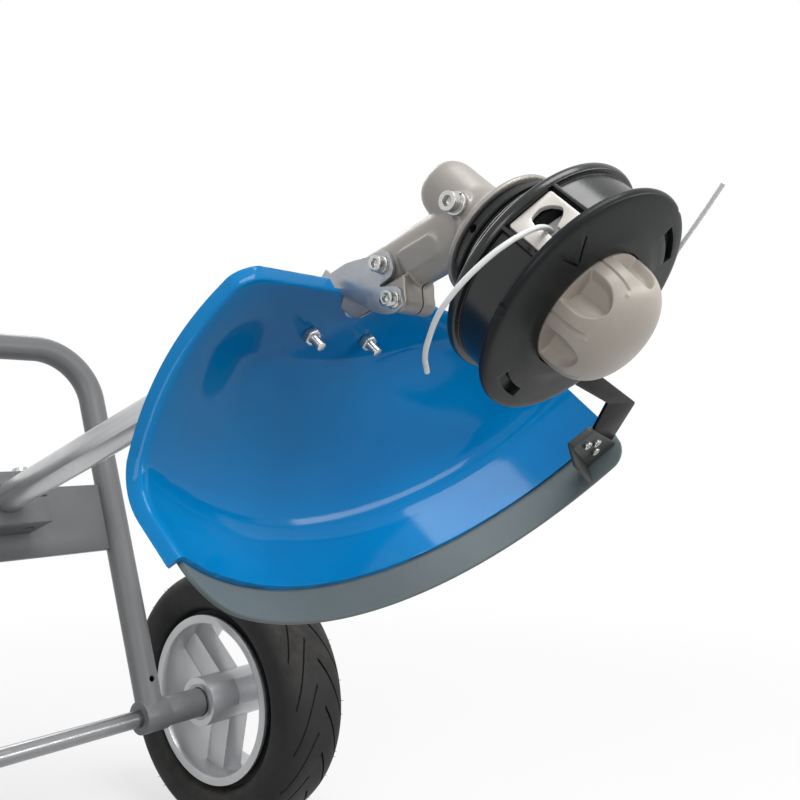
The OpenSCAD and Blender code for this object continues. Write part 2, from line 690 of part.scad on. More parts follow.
module guard_skirt() color("slategray") at_head() difference() {
    union() {
        rotate([0, 0, 180 - left_sweep]) rotate_extrude(angle = left_sweep + skirt_right, $fn = 128)
            polygon([[skirt_r, -wall_drop + skirt_lap], [skirt_r + skirt_wall, -wall_drop + skirt_lap],
                [skirt_r + skirt_wall, skirt_low], [skirt_r - 3, skirt_low], [skirt_r - 3,
                    skirt_low + 2.5],
                [skirt_r, skirt_low + 3.5]]);
        translate([0, 0, block_low]) linear_extrude(block_top - block_low) polygon(block_plan);
    }
    rotate([0, 0, 180 - left_sweep]) translate([skirt_r - 8, -e, skirt_low - e]) difference() {
        cube([20, skirt_corner, skirt_corner]);
        translate([-1, skirt_corner, skirt_corner]) rotate([0, 90, 0]) cylinder(r = skirt_corner, h = 22);
    }
    translate([0, 0, cutter_z - 0.1]) linear_extrude(cutter_t + 0.2) polygon(cutter_plan);
    cutter_screw_places() rod(1.6 + fit_gap, -0.5, 9);
    skirt_screw_places() rod(skirt_screw_r + fit_gap, -1, skirt_wall + 2);
}
// Line cutter: a flat L whose foot sits in the skirt's block
module cutter_screw_places() {
    for (p = cutter_holes) translate([p[0], p[1], block_low]) children();
}
module line_cutter() color("black") at_head() difference() {
    translate([0, 0, cutter_z]) linear_extrude(cutter_t) polygon(cutter_plan);
    cutter_screw_places() rod(1.8, -1, block_top - block_low);
}
module cutter_screws() color("silver") at_head() cutter_screw_places() mirror([0, 0, 1])
    socket_screw(1.6, 8, 3.2, 2.4);
module skirt_screw_places() {
    for (k = [-0.8, -0.25, 0.3, 0.8]) rotate([0, 0, 180 + mix(right_sweep, -left_sweep, (k + 1) / 2)])
        translate([skirt_r, 0, -wall_drop + 6]) rotate([0, 90, 0]) children();
}
module skirt_screws() color("silver") at_head() skirt_screw_places() translate([0, 0, skirt_wall])
    socket_screw(skirt_screw_r, skirt_wall + guard_wall - 1, 3.6, 2.2);
// Sheet bracket: a plate on the neck's right side, two webs beside the tube and a foot on the guard's panel
module guard_bracket() color("lightgray") difference() {
    union() {
        at_tube() translate([0, -sheet_y, 0]) rotate([90, 0, 0]) linear_extrude(sheet_t)
            polygon(bracket_side);
        at_head() for (k = [-1, 1])
            translate([bolt_x + ear_half + 0.5, k * (sheet_y + sheet_t / 2) - web_t / 2, foot_z + 0.1])
                cube([-bolt_x - ear_half - 0.5 - web_front, web_t, web_h]);
        at_head() translate([bolt_x - ear_half - foot_edge / 2, -bolt_y - foot_edge, foot_z])
            cube([2 * ear_half + foot_edge - 2, 2 * (bolt_y + foot_edge), foot_t]);
    }
    at_tube() rod(tube_r + 0.3, 0, 2 * neck_len);
    at_tube() rod(neck_r + 0.08, 0, neck_len + 0.1);
    at_head() for (y = [-bolt_y, bolt_y]) translate([bolt_x, y, foot_z - 1])
        cylinder(r = bolt_r + 0.2, h = foot_t + 2);
    at_tube() for (p = [[lock_h, lock_s], [pinch_h, pinch_s]]) translate([p[0], 0, p[1]]) rotate([90,
        0, 0])
        cylinder(r = screw_r + 0.2, h = 2 * neck_r);
}
// Strap over the tube, with an ear on each side under a guard bolt
module tube_saddle() color("dimgray") {
    ear_z = foot_z + foot_t + 0.1;
    half = ear_half;
    rise = tan(gear_angle);
    strap_in = tube_r + 0.1;
    lap = 1.5;
    inset = 0.2;
    difference() {
        union() {
            at_head() for (k = [-1, 1]) mirror([0, k > 0 ? 0 : 1, 0]) {
                translate([0, strap_in + strap_t - inset, 0]) rotate([90, 0, 0])
                    linear_extrude(strap_t - 2 * inset)
                    polygon([[bolt_x - half, ear_z], [bolt_x + half, ear_z],
                        [bolt_x + half, lap - rise * (bolt_x + half)], [bolt_x - half,
                            lap - rise * (bolt_x - half)]]);
                translate([bolt_x - half, strap_in, ear_z]) cube([2 * half, bolt_y + 10 - strap_in,
                    strap_t]);
            }
            at_tube() translate([0, 0, -(bolt_x + half) / cos(gear_angle)]) rotate([0, 0, -90])
                rotate_extrude(angle = 180) translate([strap_in, 0]) square([strap_t,
                    2 * half / cos(gear_angle)]);
        }
        at_head() for (y = [-bolt_y, bolt_y]) translate([bolt_x, y, foot_z]) cylinder(r = bolt_r + 0.2,
            h = 20);
    }
}
module guard_bolts() color("silver") at_head() for (y = [-bolt_y, bolt_y])
    translate([bolt_x, y, foot_z + foot_t + strap_t + 0.2]) {
        cylinder(d = nut_flat / cos(30), h = 4, $fn = 6);
        rod(bolt_r, -22, e);
    }
module guard_nuts() color("silver") at_head() for (y = [-bolt_y, bolt_y])
    translate([bolt_x, y, panel_z - 5.2]) hex_nut(nut_flat, 5, bolt_r + fit_gap);

// Carriage
// The hoop's run of tube: two legs, two bends and the top bar
module hoop_run(r, foot) {
    for (k = [-1, 1]) {
        translate([foot - axle_below, k * leg_y, 0]) rotate([0, 90, 0])
            cylinder(r = r, h = axle_below - foot + hoop_above - hoop_bend);
        translate([hoop_above - hoop_bend, k * (leg_y - hoop_bend), 0]) rotate([0, 0, k > 0 ? 0 : -90])
            rotate_extrude(angle = 90) translate([hoop_bend, 0]) circle(r = r);
    }
    translate([hoop_above, -leg_y + hoop_bend, 0]) rotate([-90, 0, 0]) cylinder(r = r,
        h = leg_spacing - 2 * hoop_bend);
}
module frame_hoop() color("gray") at_hoop() difference() {
    union() {
        hoop_run(hoop_r, 0);
        for (k = [-1, 1]) translate([-axle_below, k * leg_y, 0]) rotate([90, 0, 0])
            cylinder(r = hoop_r + 3, h = 2 * hoop_r + 2, center = true);
    }
    hoop_run(hoop_r - hoop_wall, hoop_r + 6);
    for (k = [-1, 1]) translate([hoop_r + 20 - axle_below, k * leg_y, 0]) rotate([180, 0, 0])
        cylinder(r = 3, h = 2 * hoop_r);
    translate([-axle_below, 0, 0]) rotate([90, 0, 0]) cylinder(r = axle_r + fit_gap,
        h = 2 * leg_spacing, center = true);
}
module cross_plate() color("gray") at_hoop() {
    difference() {
        translate([plate_top - plate_h, -leg_y + hoop_r + 0.1, -plate_t / 2])
            cube([plate_h, leg_spacing - 2 * hoop_r - 0.2, plate_t]);
        rod(tube_r + 0.3, -plate_t, plate_t);
    }
}
module clamp_half() translate([0, 0, -(plate_t + clamp_len) / 2 - 0.05]) {
    difference() {
        translate([split_gap / 2, -clamp_w / 2, -clamp_len / 2])
            cube([tube_r + clamp_wall - split_gap / 2, clamp_w, clamp_len]);
        rod(tube_r + fit_gap, -clamp_len, clamp_len);
        for (y = [-clamp_bolt_y, clamp_bolt_y]) translate([0, y, 0]) rotate([0, 90, 0])
            cylinder(r = clamp_bolt_r + fit_gap, h = 3 * tube_r);
    }
}
module clamp_base() color("gray") at_hoop() mirror([1, 0, 0]) clamp_half();
module clamp_cap() color("gray") at_hoop() clamp_half();
module clamp_bolts() color("silver") at_hoop() for (y = [-clamp_bolt_y, clamp_bolt_y])
    translate([tube_r + clamp_wall, y, -(plate_t + clamp_len) / 2 - 0.05]) rotate([0, 90, 0])
        socket_screw(clamp_bolt_r, 2 * tube_r + clamp_wall, 6.5, 8);
module axle() color("gray") at_hoop() translate([-axle_below, 0, 0]) rotate([90, 0, 0])
    cylinder(r = axle_r, h = 2 * axle_end, center = true);
module both_sides() {
    at_hoop() translate([-axle_below, 0, 0]) for (k = [0, 1]) mirror([0, k, 0]) rotate([-90, 0, 0])
        children();
}
module axle_collars() color("gray") both_sides()
    ring(collar_r, axle_r + fit_gap, leg_y + hoop_r + 1.1, wheel_y - hub_inner - 0.4);
module axle_nuts() color("silver") both_sides() translate([0, 0, wheel_y + hub_half + 0.4])
    hex_nut(2 * nut_r * cos(30), nut_h, axle_r + fit_gap);

// Wheels, drawn about Z with the outer side up
// Slanted grooves let into the tread, one set on each side of the middle
module tread_grooves() {
    for (side = [0, 1], i = [0 : tread_blocks - 1]) mirror([0, 0, side])
        rotate([0, 0, (i + side / 2) * 360 / tread_blocks])
            translate([tyre_d / 2 - groove_depth, -groove_len * sin(groove_slant) / 2, groove_start])
                rotate([-groove_slant, 0, 0]) rotate([0, -groove_fall, 0])
                    translate([0, -groove_w / 2, 0]) cube([4 * groove_depth, groove_w, groove_len]);
}
module tyre() difference() {
    tyre_body();
    tread_grooves();
}
module tyre_body() {
    crown = tyre_d / 2;
    half = tyre_w / 2;
    mid = (crown + rim_edge_r) / 2;
    tall = (crown - rim_edge_r) / 2;
    wall = 5;
    steps = 24;
    bead_r = rim_edge_r - rim_lip + 0.1;
    bead_z = half * pow(cos(65), 0.6);
    rotate_extrude($fn = 128) polygon(concat([[bead_r, bead_z - wall], [bead_r, bead_z]],
        [for (i = [0 : steps]) let (a = -65 + 310 * i / steps)
            [mid + tall * sin(a) * (abs(sin(a)) > 0 ? pow(abs(sin(a)), -0.25) : 0),
                half * sign(cos(a)) * pow(abs(cos(a)), 0.6)]], [[bead_r, -bead_z], [bead_r,
                    wall - bead_z]],
        [for (i = [steps : -1 : 0]) let (a = -65 + 310 * i / steps)
            [mid + (tall - wall) * sin(a) * (abs(sin(a)) > 0 ? pow(abs(sin(a)), -0.25) : 0),
                (half - wall) * sign(cos(a)) * pow(abs(cos(a)), 0.6)]]));
}
module rim() {
    seat_r = rim_edge_r - rim_lip;
    difference() {
        union() {
            rotate_extrude($fn = 128) polygon([[seat_r - rim_wall, -rim_half + 6],
                [seat_r - rim_wall + 2, -rim_half],
                [rim_edge_r - 2, -rim_half], [rim_edge_r - 2, -rim_half + 3], [seat_r, -rim_half + 8],
                [seat_r, rim_half - 8], [rim_edge_r - 2, rim_half - 3], [rim_edge_r - 2, rim_half],
                [seat_r - rim_wall + 2, rim_half], [seat_r - rim_wall, rim_half - 6]]);
            rod(hub_r, -hub_inner, hub_half);
            for (i = [0 : spokes - 1]) rotate([0, 0, 90 + i * 360 / spokes])
                translate([hub_r - 5, -spoke_w / 2, -spoke_t / 2])
                    cube([seat_r - rim_wall - hub_r + 6, spoke_w, spoke_t]);
        }
        rod(axle_r + 4, -hub_inner - 1, hub_half + 1);
        rod(wheel_bearing_r, hub_half - wheel_bearing_w, hub_half + 1);
        rod(wheel_bearing_r, -hub_inner - 1, -hub_inner + wheel_bearing_w);
        rotate([0, 0, 126]) translate([seat_r - 20, 0, 0]) rotate([0, 90, 0]) cylinder(r = 4 + fit_gap,
            h = 40);
    }
}
module wheel_bearings() {
    bearing(wheel_bearing_r, axle_r, hub_half - wheel_bearing_w, wheel_bearing_w);
    bearing(wheel_bearing_r, axle_r, -hub_inner, wheel_bearing_w);
}
module valve() rotate([0, 0, 126]) translate([rim_edge_r - 7, 0, 0]) rotate([0, -90, 0]) {
    rod(4, 0, 16);
    rod(3, 16, 30);
}
module hub_cap() difference() {
    rod(hub_r - 1, hub_half + 0.02, hub_half + cap_h);
    rod(wheel_bearing_r + 0.5, hub_half, hub_half + cap_h - 2.5);
}
module left_wheel() {
    at_hoop() translate([-axle_below, wheel_y, 0]) rotate([-90, 0, 0]) children();
}
module right_wheel() {
    at_hoop() translate([-axle_below, -wheel_y, 0]) rotate([90, 0, 0]) children();
}
module tyre_left() color("black") left_wheel() tyre();
module rim_left() color("silver") left_wheel() rim();
module wheel_bearings_left() color("lightsteelblue") left_wheel() wheel_bearings();
module valve_left() color("dimgray") left_wheel() valve();
module hub_cap_left() color("black") left_wheel() hub_cap();
module tyre_right() color("black") right_wheel() tyre();
module rim_right() color("silver") right_wheel() rim();
module wheel_bearings_right() color("lightsteelblue") right_wheel() wheel_bearings();
module valve_right() color("dimgray") right_wheel() valve();
module hub_cap_right() color("black") right_wheel() hub_cap();

shaft_tube();
shaft_bushes();
drive_shaft();
pinion();
gear_case();
input_bearings();
bearing_circlip();
output_bearings();
output_seal();
grease_plug();
locating_screw();
pinch_screw();
spring_washers();
output_shaft();
crown_gear();
drive_adapter();
head_housing();
head_cover();
line_eyelets();
spring_seat();
bump_spring();
spool();
wound_line();
bump_knob();
knob_screw();
line_a();
line_b();
guard();
guard_skirt();
skirt_screws();
guard_bracket();
tube_saddle();
guard_bolts();
guard_nuts();
line_cutter();
cutter_screws();
frame_hoop();
cross_plate();
clamp_base();
clamp_cap();
clamp_bolts();
axle();
axle_collars();
axle_nuts();
tyre_left();
rim_left();
wheel_bearings_left();
valve_left();
hub_cap_left();
tyre_right();
rim_right();
wheel_bearings_right();
valve_right();
hub_cap_right();
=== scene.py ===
"""Looks of a wheeled brush cutter's front end, laid out as an add-on and run as a script.

Shapes are worked out in millimetres, in the frame of the piece that carries them, and are then set into the
machine's frame in metres.
"""
import json
import math
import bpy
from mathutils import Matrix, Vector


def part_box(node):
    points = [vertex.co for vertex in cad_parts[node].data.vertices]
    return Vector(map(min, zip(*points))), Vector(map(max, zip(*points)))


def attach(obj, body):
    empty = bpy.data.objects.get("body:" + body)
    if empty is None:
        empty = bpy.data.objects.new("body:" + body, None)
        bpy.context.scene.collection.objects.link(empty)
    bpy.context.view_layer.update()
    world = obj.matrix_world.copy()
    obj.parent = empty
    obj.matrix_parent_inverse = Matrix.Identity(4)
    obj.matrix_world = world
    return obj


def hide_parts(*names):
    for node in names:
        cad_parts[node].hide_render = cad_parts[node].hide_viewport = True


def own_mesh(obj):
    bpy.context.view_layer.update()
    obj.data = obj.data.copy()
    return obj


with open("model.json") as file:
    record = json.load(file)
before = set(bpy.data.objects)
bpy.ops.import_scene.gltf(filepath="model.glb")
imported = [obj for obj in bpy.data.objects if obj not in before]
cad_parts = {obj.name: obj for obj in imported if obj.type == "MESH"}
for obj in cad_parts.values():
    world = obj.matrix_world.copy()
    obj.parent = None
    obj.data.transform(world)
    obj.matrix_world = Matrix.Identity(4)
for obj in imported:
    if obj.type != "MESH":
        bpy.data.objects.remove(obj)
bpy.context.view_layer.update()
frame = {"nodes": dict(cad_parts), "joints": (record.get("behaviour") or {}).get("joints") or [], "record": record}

from types import SimpleNamespace

import bmesh
import bpy
import numpy as np
from mathutils import Vector

bl_info = {
    "name": "Brush cutter front end",
    "version": (1, 0, 0),
    "blender": (4, 5, 0),
    "location": "3D View > Sidebar > Brush cutter",
    "description": "Dresses the line head, gear case, guard, shaft and carriage of a wheeled brush cutter",
    "category": "Object",
}

MM = 0.001
JOINTS = {joint["name"]: joint for joint in frame["joints"]}
BODY_OF = {node: body for body, nodes in frame["record"]["behaviour"]["bodies"].items() for node in nodes}

# Frames: the head's has Z up the output shaft, the tube's has Z back along the tube, and Y is to the left
LEFT = np.array([0.0, 1.0, 0.0])
HEAD_CENTRE = np.array(JOINTS["head_spin"]["pos_m"])
HEAD_UP = np.array(JOINTS["head_spin"]["axis"])
TUBE_BACK = np.array(JOINTS["drive_spin"]["axis"])
HEAD_AXES = np.array([np.cross(LEFT, HEAD_UP), LEFT, HEAD_UP])
TUBE_AXES = np.array([np.cross(LEFT, TUBE_BACK), LEFT, TUBE_BACK])
WHEEL_AXES = {
    "left": np.array([TUBE_AXES[0], -TUBE_AXES[2], LEFT]),
    "right": np.array([TUBE_AXES[0], TUBE_AXES[2], -LEFT]),
}
TYRE_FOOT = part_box("tyre_left")[0].z


def srgb(red, green, blue):
    """Linear colour of a screen colour given from 0 to 255."""
    share = np.array([red, green, blue]) / 255
    return tuple(np.where(share < 0.04045, share / 12.92, ((share + 0.055) / 1.055) ** 2.4).tolist())


def length(label, about, default):
    """A length property whose default is given in millimetres."""
    return bpy.props.FloatProperty(
        name=label, description=about, default=default * MM, unit="LENGTH", precision=4
    )


def angle(label, about, default):
    """An angle property whose default is given in degrees."""
    return bpy.props.FloatProperty(
        name=label, description=about, default=math.radians(default), subtype="ANGLE"
    )


def count(label, about, default):
    """A whole number of like features."""
    return bpy.props.IntProperty(name=label, description=about, default=default, min=1)


def colour(label, about, default):
    """A colour property whose default is given as a screen colour from 0 to 255."""
    return bpy.props.FloatVectorProperty(
        name=label, description=about, default=srgb(*default), size=3, min=0.0, max=1.0, subtype="COLOR"
    )


class HeadSizes(bpy.types.PropertyGroup):
    """Sizes of the line head, as radii about the output shaft and heights over the centre of the gears"""

    adapter_r: length("Adapter radius", "Radius of the drive adapter under the bell", 40)
    adapter_top: length("Adapter top", "Height of the adapter's upper face", -22)
    adapter_low: length("Adapter foot", "Height of the adapter's lower face", -35)
    adapter_bore: length("Adapter bore", "Radius of the bore for the output shaft", 7.05)
    hub_top: length("Hub top", "Height of the housing's upper face", -35.2)
    thread_r: length("Thread radius", "Radius of the bore for the threaded end", 5.05)
    rear_flange_r: length("Rear flange radius", "Radius of the housing's flange", 62)
    rear_flange_top: length("Rear flange top", "Height of the rear flange's upper face", -48.2)
    drum_r: length("Drum radius", "Radius of the drum between the flanges", 58)
    drum_wall: length("Drum wall", "Wall of the drum", 3)
    drum_top: length("Drum top", "Height of the drum's upper end", -51.7)
    drum_bottom: length("Drum foot", "Height of the drum's lower end", -77.7)
    front_flange_r: length("Front flange radius", "Radius of the cover's flange", 66)
    cover_bottom: length("Cover foot", "Height of the cover's rim on its lower side", -82.7)
    cover_hole_r: length("Cover hole", "Radius of the hole for the bump knob", 34)
    knob_r: length("Knob radius", "Radius of the bump knob", 33.4)
    knob_top: length("Knob top", "Height of the knob's end inside the drum", -77.4)
    knob_shoulder: length("Knob shoulder", "Height at which the dome starts", -88.2)
    knob_tip: length("Knob tip", "Height of the dome's lowest point", -115.7)
    knob_travel: length("Knob travel", "How far the knob presses into the head", 6)
    knob_pockets: count("Knob pockets", "Finger pockets round the knob", 6)
    pocket_turn: angle("Pocket place", "Angle of the first finger pocket", -67.5)
    pocket_depth: length("Pocket depth", "Depth of a finger pocket along its middle", 9.6)
    pocket_half: length("Pocket half width", "Half the width of a finger pocket", 10.9)
    mark_depth: length("Knob mark depth", "Depth of the groove between two pockets", 1.1)
    mark_end: length("Knob mark end", "Height at which the groove between two pockets ends", -105.6)
    knob_screw_r: length("Knob screw bore", "Radius of the bore for the knob's screw", 2.55)
    knob_screw_deep: length("Knob screw depth", "Depth of the bore for the knob's screw", 18)
    eyelet_turn: angle("Eyelet place", "Angle of the first eyelet", -59)
    eyelet_w: length("Eyelet width", "Width of an eyelet's plate", 26)
    eyelet_low: length("Eyelet foot", "Height of an eyelet's lower edge", -77.2)
    eyelet_h: length("Eyelet height", "Height of an eyelet's plate", 22.5)
    eyelet_t: length("Eyelet thickness", "Thickness of an eyelet's plate", 3.4)
    line_z: length("Line height", "Height at which the line leaves the drum", -70)
    line_d: length("Line diameter", "Diameter of the cutting line", 2.7)


class CaseSizes(bpy.types.PropertyGroup):
    """Sizes of the gear case, in the head's frame and along the tube"""

    boss_r: length("Boss radius", "Radius of the closed upper boss", 17)
    boss_top: length("Boss top", "Height of the boss over the centre of the gears", 39)
    bell_r: length("Bell radius", "Radius of the bell over the head", 37.5)
    bell_drop: length("Bell depth", "Depth of the bell's rim under the centre of the gears", 21)
    neck_r: length("Neck radius", "Radius of the neck round the tube", 15.6)
    belly_drop: length("Belly drop", "How far the neck's underside bulges between the bell and the lug", 2.8)
    neck_len: length("Neck length", "Length of the neck from the centre of the gears", 102)
    tube_r: length("Tube radius", "Radius of the shaft tube", 13)
    lug_r: length("Lug radius", "Radius of the pinch screw's lug", 7)
    lug_s: length("Lug place", "Place of the pinch screw along the tube", 58)
    lug_h: length("Lug height", "Place of the pinch screw over the tube's axis", -25)
    lug_far: length("Lug end", "Reach of the lug to the left of the tube", 12)
    plug_x: length("Plug place", "Place of the grease plug ahead of the output shaft", 2)
    plug_z: length("Plug height", "Height of the grease plug", 3.5)
    plug_boss_r: length("Plug boss", "Radius of the grease plug's boss", 7.4)
    plug_face: length("Plug face", "Distance of the plug's seat from the middle", 20)
    plug_r: length("Plug bore", "Radius of the grease plug's bore", 4.05)
    lock_s: length("Locating screw place", "Place of the locating screw along the tube", 59)
    lock_h: length("Locating screw height", "Place of the locating screw over the tube's axis", -3)
    screw_r: length("Screw radius", "Radius of the neck's screws", 2.5)


class GuardSizes(bpy.types.PropertyGroup):
    """Sizes of the guard, its bolts and skirt and the line cutter, in the head's frame"""

    guard_r: length("Guard radius", "Inside of the guard's wall, from the head's axis", 229)
    wall: length("Wall", "Wall of the guard", 3)
    panel_z: length("Panel height", "Height of the guard's flat panel", 42)
    panel_front: length("Panel front", "Distance of the panel's front edge behind the head's axis", 82)
    panel_right: length("Panel right", "Right end of the panel's front edge", -91)
    panel_left: length("Panel left", "Left end of the panel's front edge", 72)
    guide_back: length("Roof bulge", "How far the roof bulges back in the middle", 40)
    crease_z: length("Crease height", "Height of the crease between roof and wall", -5)
    fillet_drop: length("Crease depth", "Depth over which the roof turns into the wall", 18)
    wall_drop: length("Wall depth", "Depth of the wall's lower edge", 52)
    right_sweep: angle("Right sweep", "Angle that the guard covers to the right of the rear", 36)
    left_sweep: angle("Left sweep", "Angle that the guard covers to the left of the rear", 63)
    lip_h: length("Flange", "Height of the flanges along the front and right edges", 10)
    notch_half: length("Notch half width", "Half the width of the notch for the neck", 22.6)
    notch_back: length("Notch back", "Rear end of the notch behind the head's axis", 106)
    bolt_x: length("Bolt place", "Place of the guard bolts ahead of the head's axis", -113)
    bolt_y: length("Bolt spacing", "Distance of each guard bolt from the middle", 25)
    bolt_r: length("Bolt radius", "Radius of the guard bolts", 3)
    skirt_wall: length("Skirt wall", "Thickness of the skirt", 3)
    skirt_lap: length("Skirt lap", "How far the skirt reaches up outside the wall", 12)
    skirt_show: length("Skirt height", "Height of the skirt that shows under the wall", 24)
    skirt_corner: length("Skirt corner", "Radius of the skirt's left corner", 18)
    block_low: length("Block foot", "Height of the cutter block's lower face", -64)
    cutter_z: length("Cutter height", "Height of the line cutter's lower face", -61.4)
    cutter_t: length("Cutter thickness", "Thickness of the line cutter", 2.4)


class CarriageSizes(bpy.types.PropertyGroup):
    """Sizes of the wheels, about each wheel's own axle"""

    tyre_d: length("Tyre diameter", "Outside diameter of the tyre", 258)
    tyre_w: length("Tyre width", "Width of the tyre", 75)
    tyre_wall: length("Tyre wall", "Thickness of the tyre's wall", 5)
    rim_d: length("Rim diameter", "Diameter of the rim's edge", 172)
    rim_lip: length("Rim lip", "Height of the rim's edge over its seat", 8)
    tread_blocks: count("Tread blocks", "Slanted grooves on each side of a tyre", 18)
    tread_depth: length("Tread depth", "Depth of the tread's grooves", 2.4)
    groove_w: length("Groove width", "Width of a tread groove", 4.6)
    groove_start: length("Groove start", "Distance of a groove's inner end from the tyre's middle", 4)
    groove_end: length("Groove end", "Distance of a groove's outer end from the tyre's middle", 29.7)
    groove_run: length("Groove run", "How far a groove runs round the tyre", 62)


class Finishes(bpy.types.PropertyGroup):
    """Colours of the machine's finishes"""

    guard_blue: colour("Guard", "Glossy blue of the guard", (2, 130, 190))
    guard_deep: colour("Guard shade", "Deeper blue that clouds the guard", (0, 106, 174))
    skirt_grey: colour("Skirt", "Grey of the skirt", (104, 114, 116))
    block_grey: colour("Block", "Dark grey of the cutter's block", (62, 65, 65))
    head_charcoal: colour("Head", "Charcoal of the line head", (36, 38, 39))
    knob_grey: colour("Knob", "Warm grey of the bump knob", (184, 176, 166))
    cast_grey: colour("Gear case", "Light grey of the cast gear case", (166, 161, 155))
    eyelet_pale: colour("Eyelets", "Pale metal of the line eyelets", (218, 214, 208))
    zinc_bright: colour("Fasteners", "Bright zinc of the fasteners", (205, 205, 203))
    sheet_silver: colour("Bracket", "Galvanised sheet of the bracket", (178, 182, 187))
    line_white: colour("Line", "Milky white of the cutting line", (232, 234, 234))
    tube_silver: colour("Tube", "Drawn alloy of the shaft tube", (204, 205, 206))
    frame_grey: colour("Frame", "Grey coat of the carriage", (112, 114, 116))
    cutter_black: colour("Cutter", "Black of the line cutter", (24, 24, 26))
    tyre_black: colour("Tyre", "Black rubber of the tyres", (40, 40, 40))
    rim_silver: colour("Rim", "Silver paint of the rims", (192, 194, 196))
    steel_grey: colour("Steel", "Ground steel inside the machine", (150, 151, 153))
    dust_tan: colour("Dust", "Dust that settles on upper faces", (168, 158, 142))


class CameraPlace(bpy.types.PropertyGroup):
    """Camera of the main view"""

    place: bpy.props.FloatVectorProperty(
        name="Place",
        description="Camera's place",
        default=(1.002589, -0.419933, 0.135564),
        subtype="TRANSLATION",
    )
    tilt: angle("Tilt", "Camera's tilt from straight down", 91.8166)
    bearing: angle("Bearing", "Camera's turn about the vertical", 39.2802)
    lens: bpy.props.FloatProperty(
        name="Lens", description="Focal length on a 36 mm sensor", default=42.31, unit="CAMERA"
    )


def plain(group):
    """A property group's values by name, with its lengths in millimetres."""
    values = SimpleNamespace()
    for name in group.__annotations__:
        value = getattr(group, name)
        is_length = getattr(group.bl_rna.properties[name], "unit", "") == "LENGTH"
        setattr(values, name, value / MM if is_length else value)
    return values


def in_head(points):
    """Points of the head's frame, set into the machine's frame."""
    return HEAD_CENTRE + MM * (np.asarray(points, float) @ HEAD_AXES)


def in_tube(points):
    """Points of the tube's frame, set into the machine's frame."""
    return HEAD_CENTRE + MM * (np.asarray(points, float) @ TUBE_AXES)


def in_wheel(points, side):
    """Points of one wheel's frame, with Z outwards along the axle, set into the machine's frame."""
    centre = np.array(JOINTS[f"wheel_{side}_roll"]["pos_m"])
    return centre + MM * (np.asarray(points, float) @ WHEEL_AXES[side])


# Shapes on grids


def grid_quads(rows, columns, wrap_rows=False, wrap_columns=False):
    """Quads between neighbouring points of a grid; a wrapped side joins its last line to its first."""
    row = np.arange(rows if wrap_rows else rows - 1)
    column = np.arange(columns if wrap_columns else columns - 1)
    a, b = np.meshgrid(row, column, indexing="ij")
    c, d = (a + 1) % rows, (b + 1) % columns
    corners = [a * columns + b, c * columns + b, c * columns + d, a * columns + d]
    return np.stack(corners, -1).reshape(-1, 4)


def mix(low, high, share):
    """Straight line from low to high."""
    return low + (high - low) * share


def bend(start, guide, end, share):
    """Quadratic curve from start to end that leaves and arrives along the lines to its guide."""
    return (1 - share) ** 2 * start + 2 * share * (1 - share) * guide + share**2 * end


def step(low, high, value):
    """Smooth rise from 0 at low to 1 at high."""
    share = np.clip((value - low) / (high - low), 0, 1)
    return share * share * (3 - 2 * share)


# Most of a side that the rounding of a corner takes
CORNER_SHARE = 0.45


def rounded(corners, radius, steps=5):
    """A closed outline with each corner cut by a quadratic curve that starts the radius before the corner.

    The curve never takes more than a share of a side.
    """
    corner = np.asarray(corners, float)
    radius = np.broadcast_to(np.asarray(radius, float), len(corner))[:, None]
    back = np.roll(corner, 1, 0) - corner
    ahead = np.roll(corner, -1, 0) - corner
    start = corner + back * np.minimum(radius / np.linalg.norm(back, axis=1, keepdims=True), CORNER_SHARE)
    end = corner + ahead * np.minimum(radius / np.linalg.norm(ahead, axis=1, keepdims=True), CORNER_SHARE)
    share = np.linspace(0, 1, steps + 1)[None, :, None]
    curve = bend(start[:, None], corner[:, None], end[:, None], share)
    return curve.reshape(-1, corner.shape[1])


def lathe(profile, steps=128):
    """A closed profile of radii and heights turned about Z: x = r cos t, y = r sin t, z = h."""
    turn = np.linspace(0, 2 * np.pi, steps, endpoint=False)[:, None]
    radius, height = profile[:, 0][None], profile[:, 1][None]
    points = np.stack([radius * np.cos(turn), radius * np.sin(turn), height + 0 * turn], -1)
    return points, grid_quads(steps, len(profile), True, True).tolist()


def prism(outline, low, high):
    """A block over a flat outline: a ring at each height, walls between them and a flat face on each end."""
    flat = np.asarray(outline, float)
    many = len(flat)
    rings = [np.column_stack([flat, np.full(many, height)]) for height in (low, high)]
    faces = grid_quads(2, many, False, True).tolist()
    return np.stack(rings), faces + [list(range(many)), list(range(many, 2 * many))]


def slab(low, high, radius=0.0):
    """A block between two corners, with its upright edges rounded."""
    (x0, y0, z0), (x1, y1, z1) = low, high
    outline = [(x0, y0), (x1, y0), (x1, y1), (x0, y1)]
    return prism(rounded(outline, radius) if radius else outline, z0, z1)


def rod(radius, low, high, steps=48):
    """A round bar about Z, worked out as a prism over a circle."""
    turn = np.linspace(0, 2 * np.pi, steps, endpoint=False)
    return prism(radius * np.column_stack([np.cos(turn), np.sin(turn)]), low, high)


def bar(start, end, width, low, high):
    """A straight block of a width from one flat point to another."""
    start, end = np.asarray(start, float), np.asarray(end, float)
    ahead = (end - start) / np.linalg.norm(end - start)
    side = width / 2 * np.array([-ahead[1], ahead[0]])
    return prism([start - side, end - side, end + side, start + side], low, high)


def arc_band(inner, outer, middle, half, low, high, steps=14):
    """A block over a band of a ring, from the inner to the outer radius and half an angle to each side."""
    turn = np.linspace(middle - half, middle + half, steps)
    ray = np.column_stack([np.cos(turn), np.sin(turn)])
    return prism(np.concatenate([outer * ray, inner * ray[::-1]]), low, high)


